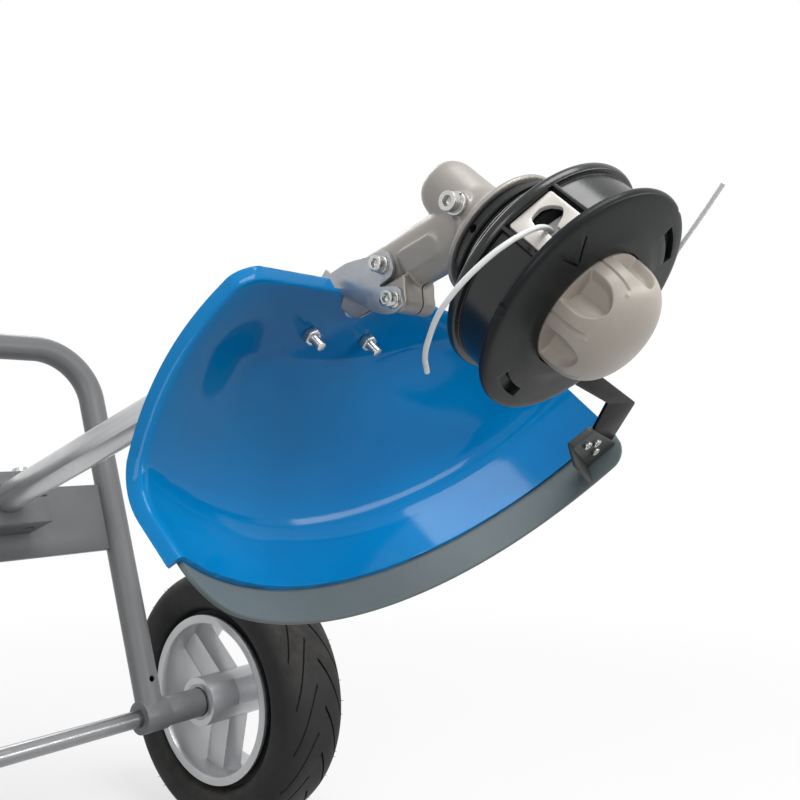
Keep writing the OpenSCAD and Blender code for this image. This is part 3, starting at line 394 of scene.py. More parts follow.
def laid(shape, axis, place=(0, 0, 0)):
    """A shape whose Z is laid along an axis, and which is then moved to a place."""
    points, faces = shape
    order = {"x": (2, 0, 1), "y": (0, 2, 1), "-y": (0, 2, 1), "z": (0, 1, 2)}[axis]
    swapped = np.asarray(points, float)[..., order]
    if axis == "-y":
        swapped = swapped * np.array([1, -1, 1])
    return swapped + np.asarray(place, float), faces


def spun(shape, turn):
    """A shape turned about Z."""
    points, faces = shape
    c, n = math.cos(turn), math.sin(turn)
    return np.asarray(points, float) @ np.array([[c, n, 0], [-n, c, 0], [0, 0, 1]]), faces


# Meshes and pieces

# Distance in metres within which points are one
SAME_POINT = 2e-6


def make_mesh(name, points, faces):
    """An object at the origin with merged points and outward faces."""
    mesh = bpy.data.meshes.new(name)
    mesh.from_pydata(np.asarray(points).reshape(-1, 3).tolist(), [], np.asarray(faces, object).tolist())
    tidy = bmesh.new()
    tidy.from_mesh(mesh)
    bmesh.ops.remove_doubles(tidy, verts=tidy.verts, dist=SAME_POINT)
    loose = [point for point in tidy.verts if not point.link_faces]
    bmesh.ops.delete(tidy, geom=loose, context="VERTS")
    bmesh.ops.recalc_face_normals(tidy, faces=tidy.faces)
    tidy.to_mesh(mesh)
    tidy.free()
    piece = bpy.data.objects.new(name, mesh)
    bpy.context.scene.collection.objects.link(piece)
    return piece


def set_shape(name, into, shape):
    """An object from a shape's points and faces; a function sets them into the machine's frame."""
    points, faces = shape
    return make_mesh(name, into(points), faces)


def settle(piece):
    """Turns the piece's modifiers into plain mesh."""
    graph = bpy.context.evaluated_depsgraph_get()
    graph.update()
    mesh = bpy.data.meshes.new_from_object(piece.evaluated_get(graph))
    piece.modifiers.clear()
    old, piece.data = piece.data, mesh
    bpy.data.meshes.remove(old)
    return piece


def combine(piece, others, operation):
    """Cuts the other shapes out of a piece, or joins them to it, and removes them."""
    for other in others:
        cut = piece.modifiers.new("shape", "BOOLEAN")
        cut.operation = operation
        cut.solver = "MANIFOLD"
        cut.object = other
    settle(piece)
    for other in others:
        bpy.data.meshes.remove(other.data)
    return piece


def soften(piece, width, segments=3, limit=35):
    """Rounds the edges that turn by more than the limit, by a width in millimetres."""
    edge = piece.modifiers.new("edges", "BEVEL")
    edge.width = width * MM
    edge.segments = segments
    edge.limit_method = "ANGLE"
    edge.angle_limit = math.radians(limit)
    edge.use_clamp_overlap = True
    edge.miter_outer = "MITER_ARC"
    return settle(piece)


def hand_over(piece, body, slot, look, *nodes, sharp=40):
    """Shades a finished piece, gives it its finish, hangs it on what carries it and hides the solids that it
    stands for.
    """
    mesh = piece.data
    mesh.shade_smooth()
    mesh.set_sharp_from_angle(angle=math.radians(sharp))
    mesh.materials.clear()
    mesh.materials.append(finish(look))
    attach(piece, body)
    if nodes:
        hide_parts(*nodes)
    return piece


def copy_node(node):
    """A copy of a solid's mesh with its loose triangles merged and its flat faces joined."""
    mesh = frame["nodes"][node].data.copy()
    tidy = bmesh.new()
    tidy.from_mesh(mesh)
    bmesh.ops.remove_doubles(tidy, verts=tidy.verts, dist=SAME_POINT)
    bmesh.ops.dissolve_limit(tidy, angle_limit=math.radians(0.5), verts=tidy.verts, edges=tidy.edges)
    tidy.to_mesh(mesh)
    tidy.free()
    piece = bpy.data.objects.new(f"{node}_dressed", mesh)
    bpy.context.scene.collection.objects.link(piece)
    return piece


def dress(node, slot, look, edge, limit=35):
    """A solid's copy with its edges rounded and its finish on."""
    piece = soften(copy_node(node), edge, 2, limit)
    return hand_over(piece, BODY_OF[node], slot, look, node)


# Finishes


def shader_node(tree, kind, inputs=None, **settings):
    """A node with its settings and the values of its sockets."""
    made = tree.nodes.new(kind)
    for name, value in settings.items():
        setattr(made, name, value)
    for name, value in (inputs or {}).items():
        made.inputs[name].default_value = value
    return made


def link(source, output, target, socket):
    """Joins a node's output to a socket of another node in its tree."""
    source.id_data.links.new(source.outputs[output], target.inputs[socket])


def start_group(name, inputs, outputs):
    """An empty shader group with named values going in and masks coming out."""
    tree = bpy.data.node_groups.new(name, "ShaderNodeTree")
    for label, value in inputs.items():
        tree.interface.new_socket(label, in_out="INPUT", socket_type="NodeSocketFloat").default_value = value
    for label in outputs:
        tree.interface.new_socket(label, in_out="OUTPUT", socket_type="NodeSocketFloat")
    return tree, tree.nodes.new("NodeGroupInput"), tree.nodes.new("NodeGroupOutput")


def patches(tree, low, high, noise_values):
    """Patches: noise on the piece's own coordinates that rises from 0 at low to 1 at high."""
    place = tree.nodes.new("ShaderNodeTexCoord")
    noise = shader_node(tree, "ShaderNodeTexNoise", noise_values)
    rise = shader_node(tree, "ShaderNodeMapRange", {"From Min": low, "From Max": high})
    link(place, "Object", noise, "Vector")
    link(noise, "Fac", rise, "Value")
    return rise.outputs["Result"]


def give_mask(tree, given, out, first, second):
    """The group's mask: two masks times each other and times the amount that is given."""
    both = shader_node(tree, "ShaderNodeMath", operation="MULTIPLY")
    scaled = shader_node(tree, "ShaderNodeMath", operation="MULTIPLY")
    tree.links.new(first, both.inputs[0])
    tree.links.new(second, both.inputs[1])
    link(both, "Value", scaled, 0)
    link(given, "Amount", scaled, 1)
    link(scaled, "Value", out, "Mask")


def moulded_grain():
    """Fine grain for bumps and a slow mottle for colour, both noise on the piece's own coordinates."""
    found = bpy.data.node_groups.get("moulded_grain")
    if found:
        return found
    scales = {"Scale": 900.0, "Mottle Scale": 22.0}
    tree, given, out = start_group("moulded_grain", scales, ("Height", "Mottle"))
    place = tree.nodes.new("ShaderNodeTexCoord")
    for label, scale, detail in (("Height", "Scale", 3.0), ("Mottle", "Mottle Scale", 5.0)):
        noise = shader_node(tree, "ShaderNodeTexNoise", {"Detail": detail, "Roughness": 0.6})
        link(place, "Object", noise, "Vector")
        link(given, scale, noise, "Scale")
        link(noise, "Fac", out, label)
    return tree


def handling_scuffs():
    """Thin scratches: noise stretched along one axis, kept only at its peaks and broken up by patches."""
    found = bpy.data.node_groups.get("handling_scuffs")
    if found:
        return found
    tree, given, out = start_group("handling_scuffs", {"Scale": 60.0, "Amount": 0.5}, ("Mask",))
    place = tree.nodes.new("ShaderNodeTexCoord")
    stretch = shader_node(
        tree, "ShaderNodeMapping", {"Rotation": (0.4, 0.9, 0.6), "Scale": (1.0, 14.0, 1.6)}
    )
    fine = shader_node(tree, "ShaderNodeTexNoise", {"Detail": 2.0})
    peak = shader_node(tree, "ShaderNodeMapRange", {"From Min": 0.62, "From Max": 0.74})
    link(place, "Object", stretch, "Vector")
    link(stretch, "Vector", fine, "Vector")
    link(given, "Scale", fine, "Scale")
    link(fine, "Fac", peak, "Value")
    broken = patches(tree, 0.45, 0.65, {"Scale": 16.0, "Detail": 2.0})
    give_mask(tree, given, out, peak.outputs["Result"], broken)
    return tree


def settled_dust():
    """Dust: the share of the face that looks up, broken up by patches."""
    found = bpy.data.node_groups.get("settled_dust")
    if found:
        return found
    tree, given, out = start_group("settled_dust", {"Amount": 0.2}, ("Mask",))
    place = tree.nodes.new("ShaderNodeTexCoord")
    split = tree.nodes.new("ShaderNodeSeparateXYZ")
    facing = shader_node(tree, "ShaderNodeMapRange", {"From Min": 0.1, "From Max": 1.0})
    link(place, "Normal", split, "Vector")
    link(split, "Z", facing, "Value")
    broken = patches(tree, 0.4, 0.72, {"Scale": 70.0, "Detail": 6.0, "Roughness": 0.7})
    give_mask(tree, given, out, facing.outputs["Result"], broken)
    return tree


def edge_wear():
    """Worn edges: where a rounded normal leaves the true one, broken up by patches."""
    found = bpy.data.node_groups.get("edge_wear")
    if found:
        return found
    tree, given, out = start_group("edge_wear", {"Width": 0.001, "Amount": 0.6}, ("Mask",))
    surface = tree.nodes.new("ShaderNodeNewGeometry")
    round_edge = shader_node(tree, "ShaderNodeBevel", samples=6)
    same = shader_node(tree, "ShaderNodeVectorMath", operation="DOT_PRODUCT")
    turn = shader_node(tree, "ShaderNodeMapRange", {"From Min": 0.99, "From Max": 0.86})
    link(given, "Width", round_edge, "Radius")
    link(round_edge, "Normal", same, 0)
    link(surface, "Normal", same, 1)
    link(same, "Value", turn, "Value")
    broken = patches(tree, 0.35, 0.6, {"Scale": 240.0, "Detail": 5.0})
    give_mask(tree, given, out, turn.outputs["Result"], broken)
    return tree


def place_group(tree, group, **values):
    """A shared group set into a material with its own values."""
    placed = tree.nodes.new("ShaderNodeGroup")
    placed.node_tree = group
    for name, value in values.items():
        placed.inputs[name.replace("_", " ").title()].default_value = value
    return placed


def mixed_colour(tree, low, high, mask):
    """Colour that goes from low to high with a mask; either may be a colour or another node's output."""
    # Sockets 6 and 7 are the two colours, and output 2 is the colour between them
    blend = shader_node(tree, "ShaderNodeMix", data_type="RGBA")
    for socket, value in ((blend.inputs[6], low), (blend.inputs[7], high)):
        if isinstance(value, bpy.types.NodeSocket):
            tree.links.new(value, socket)
        else:
            socket.default_value = (*value, 1.0)
    tree.links.new(mask, blend.inputs[0])
    return blend.outputs[2]


# What each finish has. Its tint is the colour of the same name where none is given. Light and dark are the
# shares of it in the base and in the cloud, and the cloud may have a tint of its own.
FINISHES = {
    # Glossy blue moulding with a faint cloud and orange peel
    "guard_blue": dict(
        cloud_tint="guard_deep", rough=0.1, spread=0.03, grain=420.0, mottle=9.0, bump=0.03,
        scuffs=0.1, scuff_scale=34.0, specular_ior_level=0.16,
    ),
    # Grey flexible moulding with a fine matt grain
    "skirt_grey": dict(
        dark=0.86, rough=0.46, spread=0.06, grain=1300.0, mottle=16.0, bump=0.16,
        scuffs=0.25, dust=0.03, specular_ior_level=0.12,
    ),
    # Dark grey moulding of the cutter's block
    "block_grey": dict(
        dark=0.8, rough=0.42, spread=0.06, grain=1100.0, mottle=40.0, bump=0.14, specular_ior_level=0.25,
    ),
    # Charcoal nylon of the line head, satin with a spark-eroded grain
    "head_charcoal": dict(
        dark=0.75, rough=0.3, spread=0.06, grain=1500.0, mottle=40.0, bump=0.12,
        scuffs=0.08, dust=0.01, specular_ior_level=0.12,
    ),
    # Smoother and darker nylon of the head's drum
    "housing_black": dict(
        tint="head_charcoal", light=0.6, dark=0.5, rough=0.24, spread=0.05, mottle=40.0,
        scuffs=0.06, specular_ior_level=0.45,
    ),
    # Warm grey nylon of the bump knob, with a few scuffs on its dome
    "knob_grey": dict(
        dark=0.88, rough=0.36, spread=0.06, grain=1200.0, mottle=45.0, bump=0.1,
        scuffs=0.3, specular_ior_level=0.35,
    ),
    # Die-cast alloy under a thin light grey coat: soft pitting and a satin sheen
    "cast_grey": dict(
        dark=0.84, rough=0.42, spread=0.08, metallic=0.25, grain=620.0, mottle=60.0, bump=0.22,
        bump_depth=0.0004, dust=0.04, wear=0.35, wear_colour=(0.72, 0.71, 0.7),
    ),
    # Pale satin metal of the line eyelets
    "eyelet_pale": dict(
        dark=0.85, rough=0.36, spread=0.07, metallic=0.35, grain=1600.0, mottle=120.0,
        scuffs=0.5, scuff_scale=120.0,
    ),
    # Bright zinc plate with a faint brushed cloud
    "zinc_bright": dict(
        dark=0.78, rough=0.27, spread=0.09, metallic=0.92, grain=1400.0, mottle=180.0, bump=0.08,
        scuffs=0.3, scuff_scale=200.0,
    ),
    # Galvanised sheet: cloudy grey metal with dull patches
    "sheet_silver": dict(
        dark=0.72, rough=0.36, spread=0.1, metallic=0.75, grain=300.0, mottle=150.0, bump=0.08,
        scuffs=0.35, scuff_scale=120.0,
    ),
    # Milky nylon line with a soft shine
    "line_white": dict(dark=0.95, rough=0.3, spread=0.04, grain=300.0, mottle=60.0, bump=0.02),
    # Drawn alloy tube, satin with fine marks
    "tube_silver": dict(
        dark=0.88, rough=0.32, spread=0.06, metallic=0.8, mottle=30.0, bump=0.05,
        scuffs=0.45, scuff_scale=90.0, dust=0.03,
    ),
    # Grey powder coat with orange peel, a little dust and paler worn edges
    "frame_grey": dict(
        dark=0.86, rough=0.4, spread=0.06, grain=520.0, mottle=14.0, bump=0.2, bump_depth=0.0004,
        scuffs=0.3, dust=0.08, wear=0.35, wear_colour=(0.4, 0.4, 0.4), specular_ior_level=0.4,
    ),
    # Black satin blade whose edges are worn to bare steel
    "cutter_black": dict(
        dark=0.75, rough=0.36, spread=0.06, grain=700.0, mottle=60.0, bump=0.1, scuffs=0.2, scuff_scale=110.0,
        wear=0.3, wear_colour=(0.16, 0.16, 0.16), specular_ior_level=0.1,
    ),
    # Black rubber, matt and dusty
    "tyre_black": dict(
        dark=0.75, rough=0.66, spread=0.08, grain=800.0, mottle=26.0, bump=0.24, bump_depth=0.0005,
        dust=0.16, specular_ior_level=0.25,
    ),
    # Silver paint with a fine flake
    "rim_silver": dict(
        dark=0.88, rough=0.34, spread=0.05, metallic=0.55, grain=2600.0, mottle=18.0, bump=0.05,
        dust=0.08, coat_weight=0.3, coat_roughness=0.15,
    ),
    # Ground steel of the shafts, gears and bearings
    "steel_grey": dict(
        dark=0.8, rough=0.3, spread=0.07, metallic=0.95, grain=1500.0, mottle=90.0,
        scuffs=0.3, scuff_scale=160.0,
    ),
    # Dark rubber and polymer of seals, bushes, caps and spool, and painted shade on the wall down the side of the
    # cutter's block
    "seal_dark": dict(
        tint="tyre_black", dark=0.7, rough=0.5, spread=0.06, grain=1100.0, mottle=40.0, bump=0.14,
        dust=0.05, specular_ior_level=0.25,
    ),
}

# How far wear reaches from an edge, in metres
WEAR_WIDTH = 0.0012

# A scuff's colour as the base's times a gain plus a lift, and how much rougher it is
SCUFF_GAIN = 1.35
SCUFF_LIFT = 0.02
SCUFF_ROUGH = 0.25


def finish(look):
    """The material of a finish, made when it is first asked for."""
    made = bpy.data.materials.get(f"{look}_finish")
    return made or make_finish(look, **FINISHES[look])


def shaded(tint, share):
    """A colour made darker by a share."""
    return tuple(part * share for part in tint)


def make_finish(
    look, rough, spread, tint="", light=1.0, cloud_tint="", dark=1.0, metallic=0.0, grain=900.0, mottle=22.0,
    bump=0.06, bump_depth=0.0003, scuffs=0.0, scuff_scale=60.0, dust=0.0, wear=0.0,
    wear_colour=(0.6, 0.6, 0.6), **plain_values
):
    """A finish: base colour clouded with its shade, roughness that follows the cloud, and grain as a bump.

    Scuffs, dust and worn edges come in where they are given. Values that are the same all over sit on the
    shader itself.
    """
    tints = bpy.context.scene.cutter_finishes
    base = shaded(getattr(tints, tint or look), light)
    shade = shaded(getattr(tints, cloud_tint or tint or look), dark)
    made = bpy.data.materials.new(f"{look}_finish")
    made.use_nodes = True
    tree = made.node_tree
    surface = tree.nodes["Principled BSDF"]
    texture = place_group(tree, moulded_grain(), scale=grain, mottle_scale=mottle)
    paint = mixed_colour(tree, base, shade, texture.outputs["Mottle"])
    gloss = shader_node(tree, "ShaderNodeMapRange", {
        "From Min": 0.3, "From Max": 0.7, "To Min": rough - spread, "To Max": rough + spread})
    link(texture, "Mottle", gloss, "Value")
    gloss = gloss.outputs["Result"]
    if scuffs:
        marks = place_group(tree, handling_scuffs(), scale=scuff_scale, amount=scuffs)
        paler = tuple(min(1.0, SCUFF_GAIN * part + SCUFF_LIFT) for part in base)
        paint = mixed_colour(tree, paint, paler, marks.outputs["Mask"])
        rougher = shader_node(tree, "ShaderNodeMath", {1: SCUFF_ROUGH}, operation="MULTIPLY_ADD")
        link(marks, "Mask", rougher, 0)
        tree.links.new(gloss, rougher.inputs[2])
        gloss = rougher.outputs["Value"]
    if wear:
        worn = place_group(tree, edge_wear(), width=WEAR_WIDTH, amount=wear)
        paint = mixed_colour(tree, paint, wear_colour, worn.outputs["Mask"])
    if dust:
        film = place_group(tree, settled_dust(), amount=dust)
        paint = mixed_colour(tree, paint, tuple(tints.dust_tan), film.outputs["Mask"])
    relief = shader_node(tree, "ShaderNodeBump", {"Strength": bump, "Distance": bump_depth})
    link(texture, "Height", relief, "Height")
    tree.links.new(paint, surface.inputs["Base Color"])
    tree.links.new(gloss, surface.inputs["Roughness"])
    link(relief, "Normal", surface, "Normal")
    surface.inputs["Metallic"].default_value = metallic
    for label, value in plain_values.items():
        surface.inputs[label.replace("_", " ").title().replace("Ior", "IOR")].default_value = value
    return made


# Pieces of the line head


def housing_profile(s):
    """Housing outline from the bore over the hub, the sloping flange and the drum, and back up inside."""
    corner = [
        (s.thread_r, s.hub_top), (s.adapter_r + 3, s.hub_top), (s.adapter_r + 5, s.hub_top - 2),
        (s.adapter_r + 5, s.hub_top - 4), (s.rear_flange_r - 14, s.rear_flange_top + 5),
        (s.rear_flange_r - 8, s.rear_flange_top + 3), (s.rear_flange_r - 6.5, s.rear_flange_top + 1),
        (s.rear_flange_r - 1, s.rear_flange_top), (s.rear_flange_r, s.rear_flange_top - 3),
        (s.rear_flange_r - 0.8, s.drum_top - 2.2), (s.rear_flange_r - 2.5, s.drum_top - 2.6),
        (s.drum_r, s.drum_top - 2.6), (s.drum_r, s.drum_bottom),
        (s.drum_r - s.drum_wall, s.drum_bottom), (s.drum_r - s.drum_wall, s.drum_top),
        (s.thread_r, s.drum_top),
    ]
    return rounded(corner, [0.3, 1, 1, 1.5, 2, 1, 1, 3, 2.5, 2, 0.6, 0.4, 0.4, 0.4, 0.6, 0.3])


def cover_profile(s):
    """Cover outline from the knob's hole over the rim with its rounded edge and the raised collar."""
    corner = [
        (s.cover_hole_r, s.drum_bottom), (s.front_flange_r - 4, s.drum_bottom),
        (s.front_flange_r - 1, s.drum_bottom - 0.6), (s.front_flange_r, s.drum_bottom - 3),
        (s.front_flange_r - 1, s.cover_bottom - 0.6), (s.front_flange_r - 4, s.cover_bottom - 1.2),
        (s.knob_r + 12, s.cover_bottom - 2.2), (s.knob_r + 6, s.cover_bottom - 3.2),
        (s.cover_hole_r, s.cover_bottom - 3.2),
    ]
    return rounded(corner, [0.4, 1.5, 2, 2, 2, 2, 3, 3, 0.8])


def eyelet_turns(s):
    """The two angles at which the line leaves the drum."""
    return (s.eyelet_turn, s.eyelet_turn + math.pi)


# Finger pockets: where they start under the cover's rim, the straight run of their U, how far its edge and
# its upper end fade, how the floor leans with the height and how steep its V is
POCKET_START = 3.4
POCKET_RUN = 10
POCKET_EDGE = 2.2
POCKET_FADE = 1.2
FLOOR_LEAN = 0.06
FLOOR_SLOPE = 0.5

# Groove on a land: half its width, half the width of its floor and how far its end fades.
# Nub by that end: how far beside and under it, how much it is squashed, its radius, its top's and its height.
MARK_HALF = 0.85
MARK_FLOOR = 0.2
MARK_FADE = 1.5
NUB_BESIDE = 2.0
NUB_UNDER = 0.7
NUB_SQUASH = 1.3
NUB_R = 1.7
NUB_TOP_R = 0.3
NUB_H = 0.6

# Power of the sine that makes the knob's dome blunt
DOME_POWER = 0.66


def knob_surface(s, columns=480, rows=90):
    """Bump knob: radius over angle and height.

    The dome falls as r = R cos a at height z = shoulder + (tip - shoulder) sin(a) to the dome's power. Finger
    pockets are let into it: their outline is a U that opens towards the cover, their floor is a shallow V,
    and their depth fades over the U's edge. A narrow groove runs down each land between them and ends at a
    small moulding nub.
    """
    turn = np.linspace(0, 2 * np.pi, columns, endpoint=False)[:, None]
    a = np.linspace(0, np.pi / 2, rows)[None]
    dome_r = s.knob_r * np.cos(a)
    dome_z = s.knob_shoulder + (s.knob_tip - s.knob_shoulder) * np.sin(a) ** DOME_POWER
    side_z = np.linspace(s.knob_top, s.knob_shoulder, 16)[None, :-1]
    height = np.concatenate([side_z, dome_z], 1)
    radius = np.concatenate([s.knob_r + 0 * side_z, dome_r], 1)
    pitch = 2 * np.pi / s.knob_pockets
    beside = s.knob_r * ((turn - s.pocket_turn + pitch / 2) % pitch - pitch / 2)
    down = s.cover_bottom - POCKET_START - height
    away = np.hypot(beside, np.clip(down - POCKET_RUN, 0, None))
    window = step(s.pocket_half, s.pocket_half - POCKET_EDGE, away) * step(0, POCKET_FADE, down)
    floor = s.knob_r - s.pocket_depth - FLOOR_LEAN * down + FLOOR_SLOPE * np.abs(beside)
    cut = np.minimum(radius, mix(radius, floor, window))
    off_mark = radius * ((turn - s.pocket_turn) % pitch - pitch / 2)
    along = step(s.mark_end, s.mark_end + MARK_FADE, height)
    cut = cut - s.mark_depth * step(MARK_HALF, MARK_FLOOR, np.abs(off_mark)) * along
    nub = np.hypot(off_mark + NUB_BESIDE, NUB_SQUASH * (height - s.mark_end + NUB_UNDER))
    cut = cut + NUB_H * step(NUB_R, NUB_TOP_R, nub)
    points = np.stack([cut * np.cos(turn), cut * np.sin(turn), height + 0 * turn], -1)
    bore_x, bore_y = s.knob_screw_r * np.cos(turn), s.knob_screw_r * np.sin(turn)
    rim = np.stack([bore_x, bore_y, s.knob_top + 0 * turn], -1)
    well = rim - np.array([0, 0, s.knob_screw_deep])
    pole = np.zeros_like(rim) + np.array([0, 0, s.knob_top - s.knob_screw_deep])
    points = np.concatenate([pole, well, rim, points], 1)
    return points, grid_quads(columns, points.shape[1], True, False)


# Strokes of the plain V that marks where the cover opens, across the head's axis in millimetres
MARK_STROKES = [((21.3, -49.5), (20.6, -36)), ((22.2, -36.4), (34.7, -43.4))]

# Routes of the two free ends of line, across the head's axis in millimetres
LINE_ROUTES = {
    "line_a": [
        (27.3, -47.3), (28.1, -50.7), (28, -55.5), (26, -61), (21.5, -67.3), (15.5, -73.4), (9.5, -78),
        (3, -81.7), (-5.5, -85.4), (-14.8, -87.7), (-24, -88), (-35.4, -84.7), (-46.4, -79.1), (-55.8, -69.7),
    ],
    "line_b": [
        (-27.3, 47.3), (-28.1, 50.7), (-27.8, 55.5), (-25, 61.3), (-19.5, 67.2), (-12, 72), (-3, 75.5),
        (8, 77.6), (20, 78), (32.3, 77.4), (42.2, 76.3), (60.1, 75.1), (81, 72.7),
    ],
}


class BRUSHCUTTER_OT_make_lines(bpy.types.Operator):
    """Free ends of the cutting line, each one smooth curve through its route"""

    bl_idname = "brushcutter.make_lines"
    bl_label = "Cutting line"

    # Length of the smooth curve over that of the straight pieces of its route
    curve_share = 1.004

    def execute(self, context):
        s = plain(context.scene.cutter_head)
        for node, route in LINE_ROUTES.items():
            flat = np.asarray(route, float)
            places = in_head(np.column_stack([flat, np.full(len(flat), s.line_z)]))
            curve = bpy.data.curves.new(f"{node}_free_end", "CURVE")
            curve.dimensions = "3D"
            curve.bevel_depth = s.line_d / 2 * MM
            curve.bevel_resolution = 5
            curve.resolution_u = 6
            curve.use_fill_caps = True
            spline = curve.splines.new("BEZIER")
            spline.bezier_points.add(len(places) - 1)
            spline.bezier_points.foreach_set("co", places.ravel())
            for point in spline.bezier_points:
                point.handle_left_type = point.handle_right_type = "AUTO"
            piece = bpy.data.objects.new(f"{node}_free_end", curve)
            context.scene.collection.objects.link(piece)
            curve.materials.append(finish("line_white"))
            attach(piece, "head")
            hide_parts(node)
        return {"FINISHED"}


class BRUSHCUTTER_OT_make_head(bpy.types.Operator):
    """Housing, cover and drive adapter of the line head, turned shapes with windows, notches and holes"""

    bl_idname = "brushcutter.make_head"
    bl_label = "Line head"

    steps = 160
    window_gap = 0.2
    rib_half = 0.9
    rib_off = 2.6
    notch_turns = (20, 140, 260)
    notch_r = 6
    slot_turns = (36, 204)
    slot_half = 13
    slot_band = (52, 57.5)
    stroke_w = 1.2
    pin_turns = (-87, 3, 93, 183)
    pin_r = 2.4

    def execute(self, context):
        s = plain(context.scene.cutter_head)
        self.make_housing(s)
        self.make_cover(s)
        self.make_adapter(s)
        return {"FINISHED"}

    def make_housing(self, s):
        """Turned housing with a window for each eyelet and a rib on both sides of it."""
        housing = set_shape("line_head_housing", in_head, lathe(housing_profile(s), self.steps))
        half, gap = s.eyelet_w / 2, self.window_gap
        windows, ribs = [], []
        for turn in eyelet_turns(s):
            low = (s.drum_r - s.drum_wall - 3, -half - gap, s.eyelet_low - gap)
            high = (s.drum_r + 1.5, half + gap, s.eyelet_low + s.eyelet_h + gap)
            windows.append(set_shape("window", in_head, spun(slab(low, high), turn)))
            for side in (-1, 1):
                y = side * (half + self.rib_off)
                low = (s.drum_r - 6, y - self.rib_half, s.drum_bottom + 0.1)
                high = (s.drum_r + 1.2, y + self.rib_half, s.drum_top - 2)
                ribs.append(set_shape("rib", in_head, spun(slab(low, high), turn)))
        combine(housing, ribs, "UNION")
        combine(housing, windows, "DIFFERENCE")
        soften(housing, 0.4, 2, 50)
        hand_over(housing, "head", "head_plastic", "housing_black", "head_housing")

    def make_cover(self, s):
        """Turned cover with three grip notches, two latch slots and a grooved mark."""
        cover = set_shape("line_head_cover", in_head, lathe(cover_profile(s), self.steps))
        cuts = []
        for turn in np.radians(self.notch_turns):
            shape = rod(self.notch_r, s.cover_bottom - 4, s.drum_bottom + 2)
            shape = laid(shape, "z", (s.front_flange_r + 4, 0, 0))
            cuts.append(set_shape("notch", in_head, spun(shape, turn)))
        for turn in np.radians(self.slot_turns):
            half = math.radians(self.slot_half)
            shape = arc_band(*self.slot_band, turn, half, s.cover_bottom - 6, s.cover_bottom + 2.2)
            cuts.append(set_shape("latch_slot", in_head, shape))
        for start, end in MARK_STROKES:
            shape = bar(start, end, self.stroke_w, s.cover_bottom - 6, s.cover_bottom - 0.8)
            cuts.append(set_shape("stroke", in_head, shape))
        combine(cover, cuts, "DIFFERENCE")
        soften(cover, 0.4, 2, 50)
        hand_over(cover, "head", "head_plastic", "head_charcoal", "head_cover")

    def make_adapter(self, s):
        """Turned adapter with four radial holes for the locking pin."""
        corner = [
            (s.adapter_bore, s.adapter_top), (s.adapter_r - 5, s.adapter_top),
            (s.adapter_r - 3.8, s.adapter_top - 1), (s.adapter_r - 1.6, s.adapter_top - 6.5),
            (s.adapter_r, s.adapter_top - 7.2), (s.adapter_r, s.adapter_top - 8.8),
            (s.adapter_r - 1.6, s.adapter_top - 9.2), (s.adapter_r - 1.6, s.adapter_top - 11),
            (s.adapter_r, s.adapter_top - 11.4), (s.adapter_r, s.adapter_low),
            (s.adapter_bore, s.adapter_low),
        ]
        profile = rounded(corner, [0.4, 0.6, 0.8, 0.6, 0.6, 0.6, 0.3, 0.3, 0.5, 0.5, 0.4])
        adapter = set_shape("head_drive_adapter", in_head, lathe(profile))
        holes = []
        for turn in np.radians(self.pin_turns):
            shape = laid(rod(self.pin_r, 0, 20), "x", (s.adapter_r - 12, 0, s.adapter_top - 3.4))
            holes.append(set_shape("hole", in_head, spun(shape, turn)))
        combine(adapter, holes, "DIFFERENCE")
        soften(adapter, 0.35, 2, 50)
        hand_over(adapter, "head", "head_plastic", "head_charcoal", "drive_adapter")


class BRUSHCUTTER_OT_make_knob(bpy.types.Operator):
    """Bump knob, a dome with finger pockets, and the spring under it"""

    bl_idname = "brushcutter.make_knob"
    bl_label = "Bump knob"

    def execute(self, context):
        s = plain(context.scene.cutter_head)
        knob = set_shape("domed_bump_knob", in_head, knob_surface(s))
        hand_over(knob, "spool", "knob_plastic", "knob_grey", "bump_knob", sharp=60)
        spring = copy_node("bump_spring")
        hand_over(spring, BODY_OF["bump_spring"], "ground_steel", "steel_grey", "bump_spring", sharp=60)
        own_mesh(spring)
        return {"FINISHED"}


# Opening of an eyelet, across its plate and over the plate's lower edge in millimetres, and how far each
# corner is rounded
EYELET_OPENING = [
    (-5, 12.6), (-3.6, 17.6), (3.4, 18.6), (7.8, 15.6), (10.2, 11), (7.4, 7.8), (3.4, 6.2), (1.35, 5.4),
    (1.35, -3), (-4.35, -3), (-3.8, 6.2),
]
EYELET_RADII = [2, 2, 2.5, 2.5, 2, 2, 1.5, 1.2, 0.1, 0.1, 1.2]


class BRUSHCUTTER_OT_make_eyelets(bpy.types.Operator):
    """Line eyelets, rounded plates with a mushroom-shaped opening"""

    bl_idname = "brushcutter.make_eyelets"
    bl_label = "Line eyelets"

    corner_r = 1.8
    proud = 0.4

    def execute(self, context):
        s = plain(context.scene.cutter_head)
        w, low, high = s.eyelet_w / 2, s.eyelet_low, s.eyelet_low + s.eyelet_h
        plates = []
        for index, turn in enumerate(eyelet_turns(s)):
            outline = rounded([(-w, low), (w, low), (w, high), (-w, high)], self.corner_r)
            shape = laid(prism(outline, s.drum_r - s.eyelet_t + self.proud, s.drum_r + self.proud), "x")
            plate = set_shape(f"line_eyelet_{index + 1}", in_head, spun(shape, turn))
            outline = rounded(EYELET_OPENING, EYELET_RADII) + [0, low]
            shape = laid(prism(outline, s.drum_r - 9, s.drum_r + 9), "x")
            combine(plate, [set_shape("slot", in_head, spun(shape, turn))], "DIFFERENCE")
            soften(plate, 0.7, 3, 50)
            plates.append(plate)
        hand_over(plates[0], "head", "eyelet_metal", "eyelet_pale", "line_eyelets")
        hand_over(plates[1], "head", "eyelet_metal", "eyelet_pale")
        return {"FINISHED"}


# Gear case and bracket


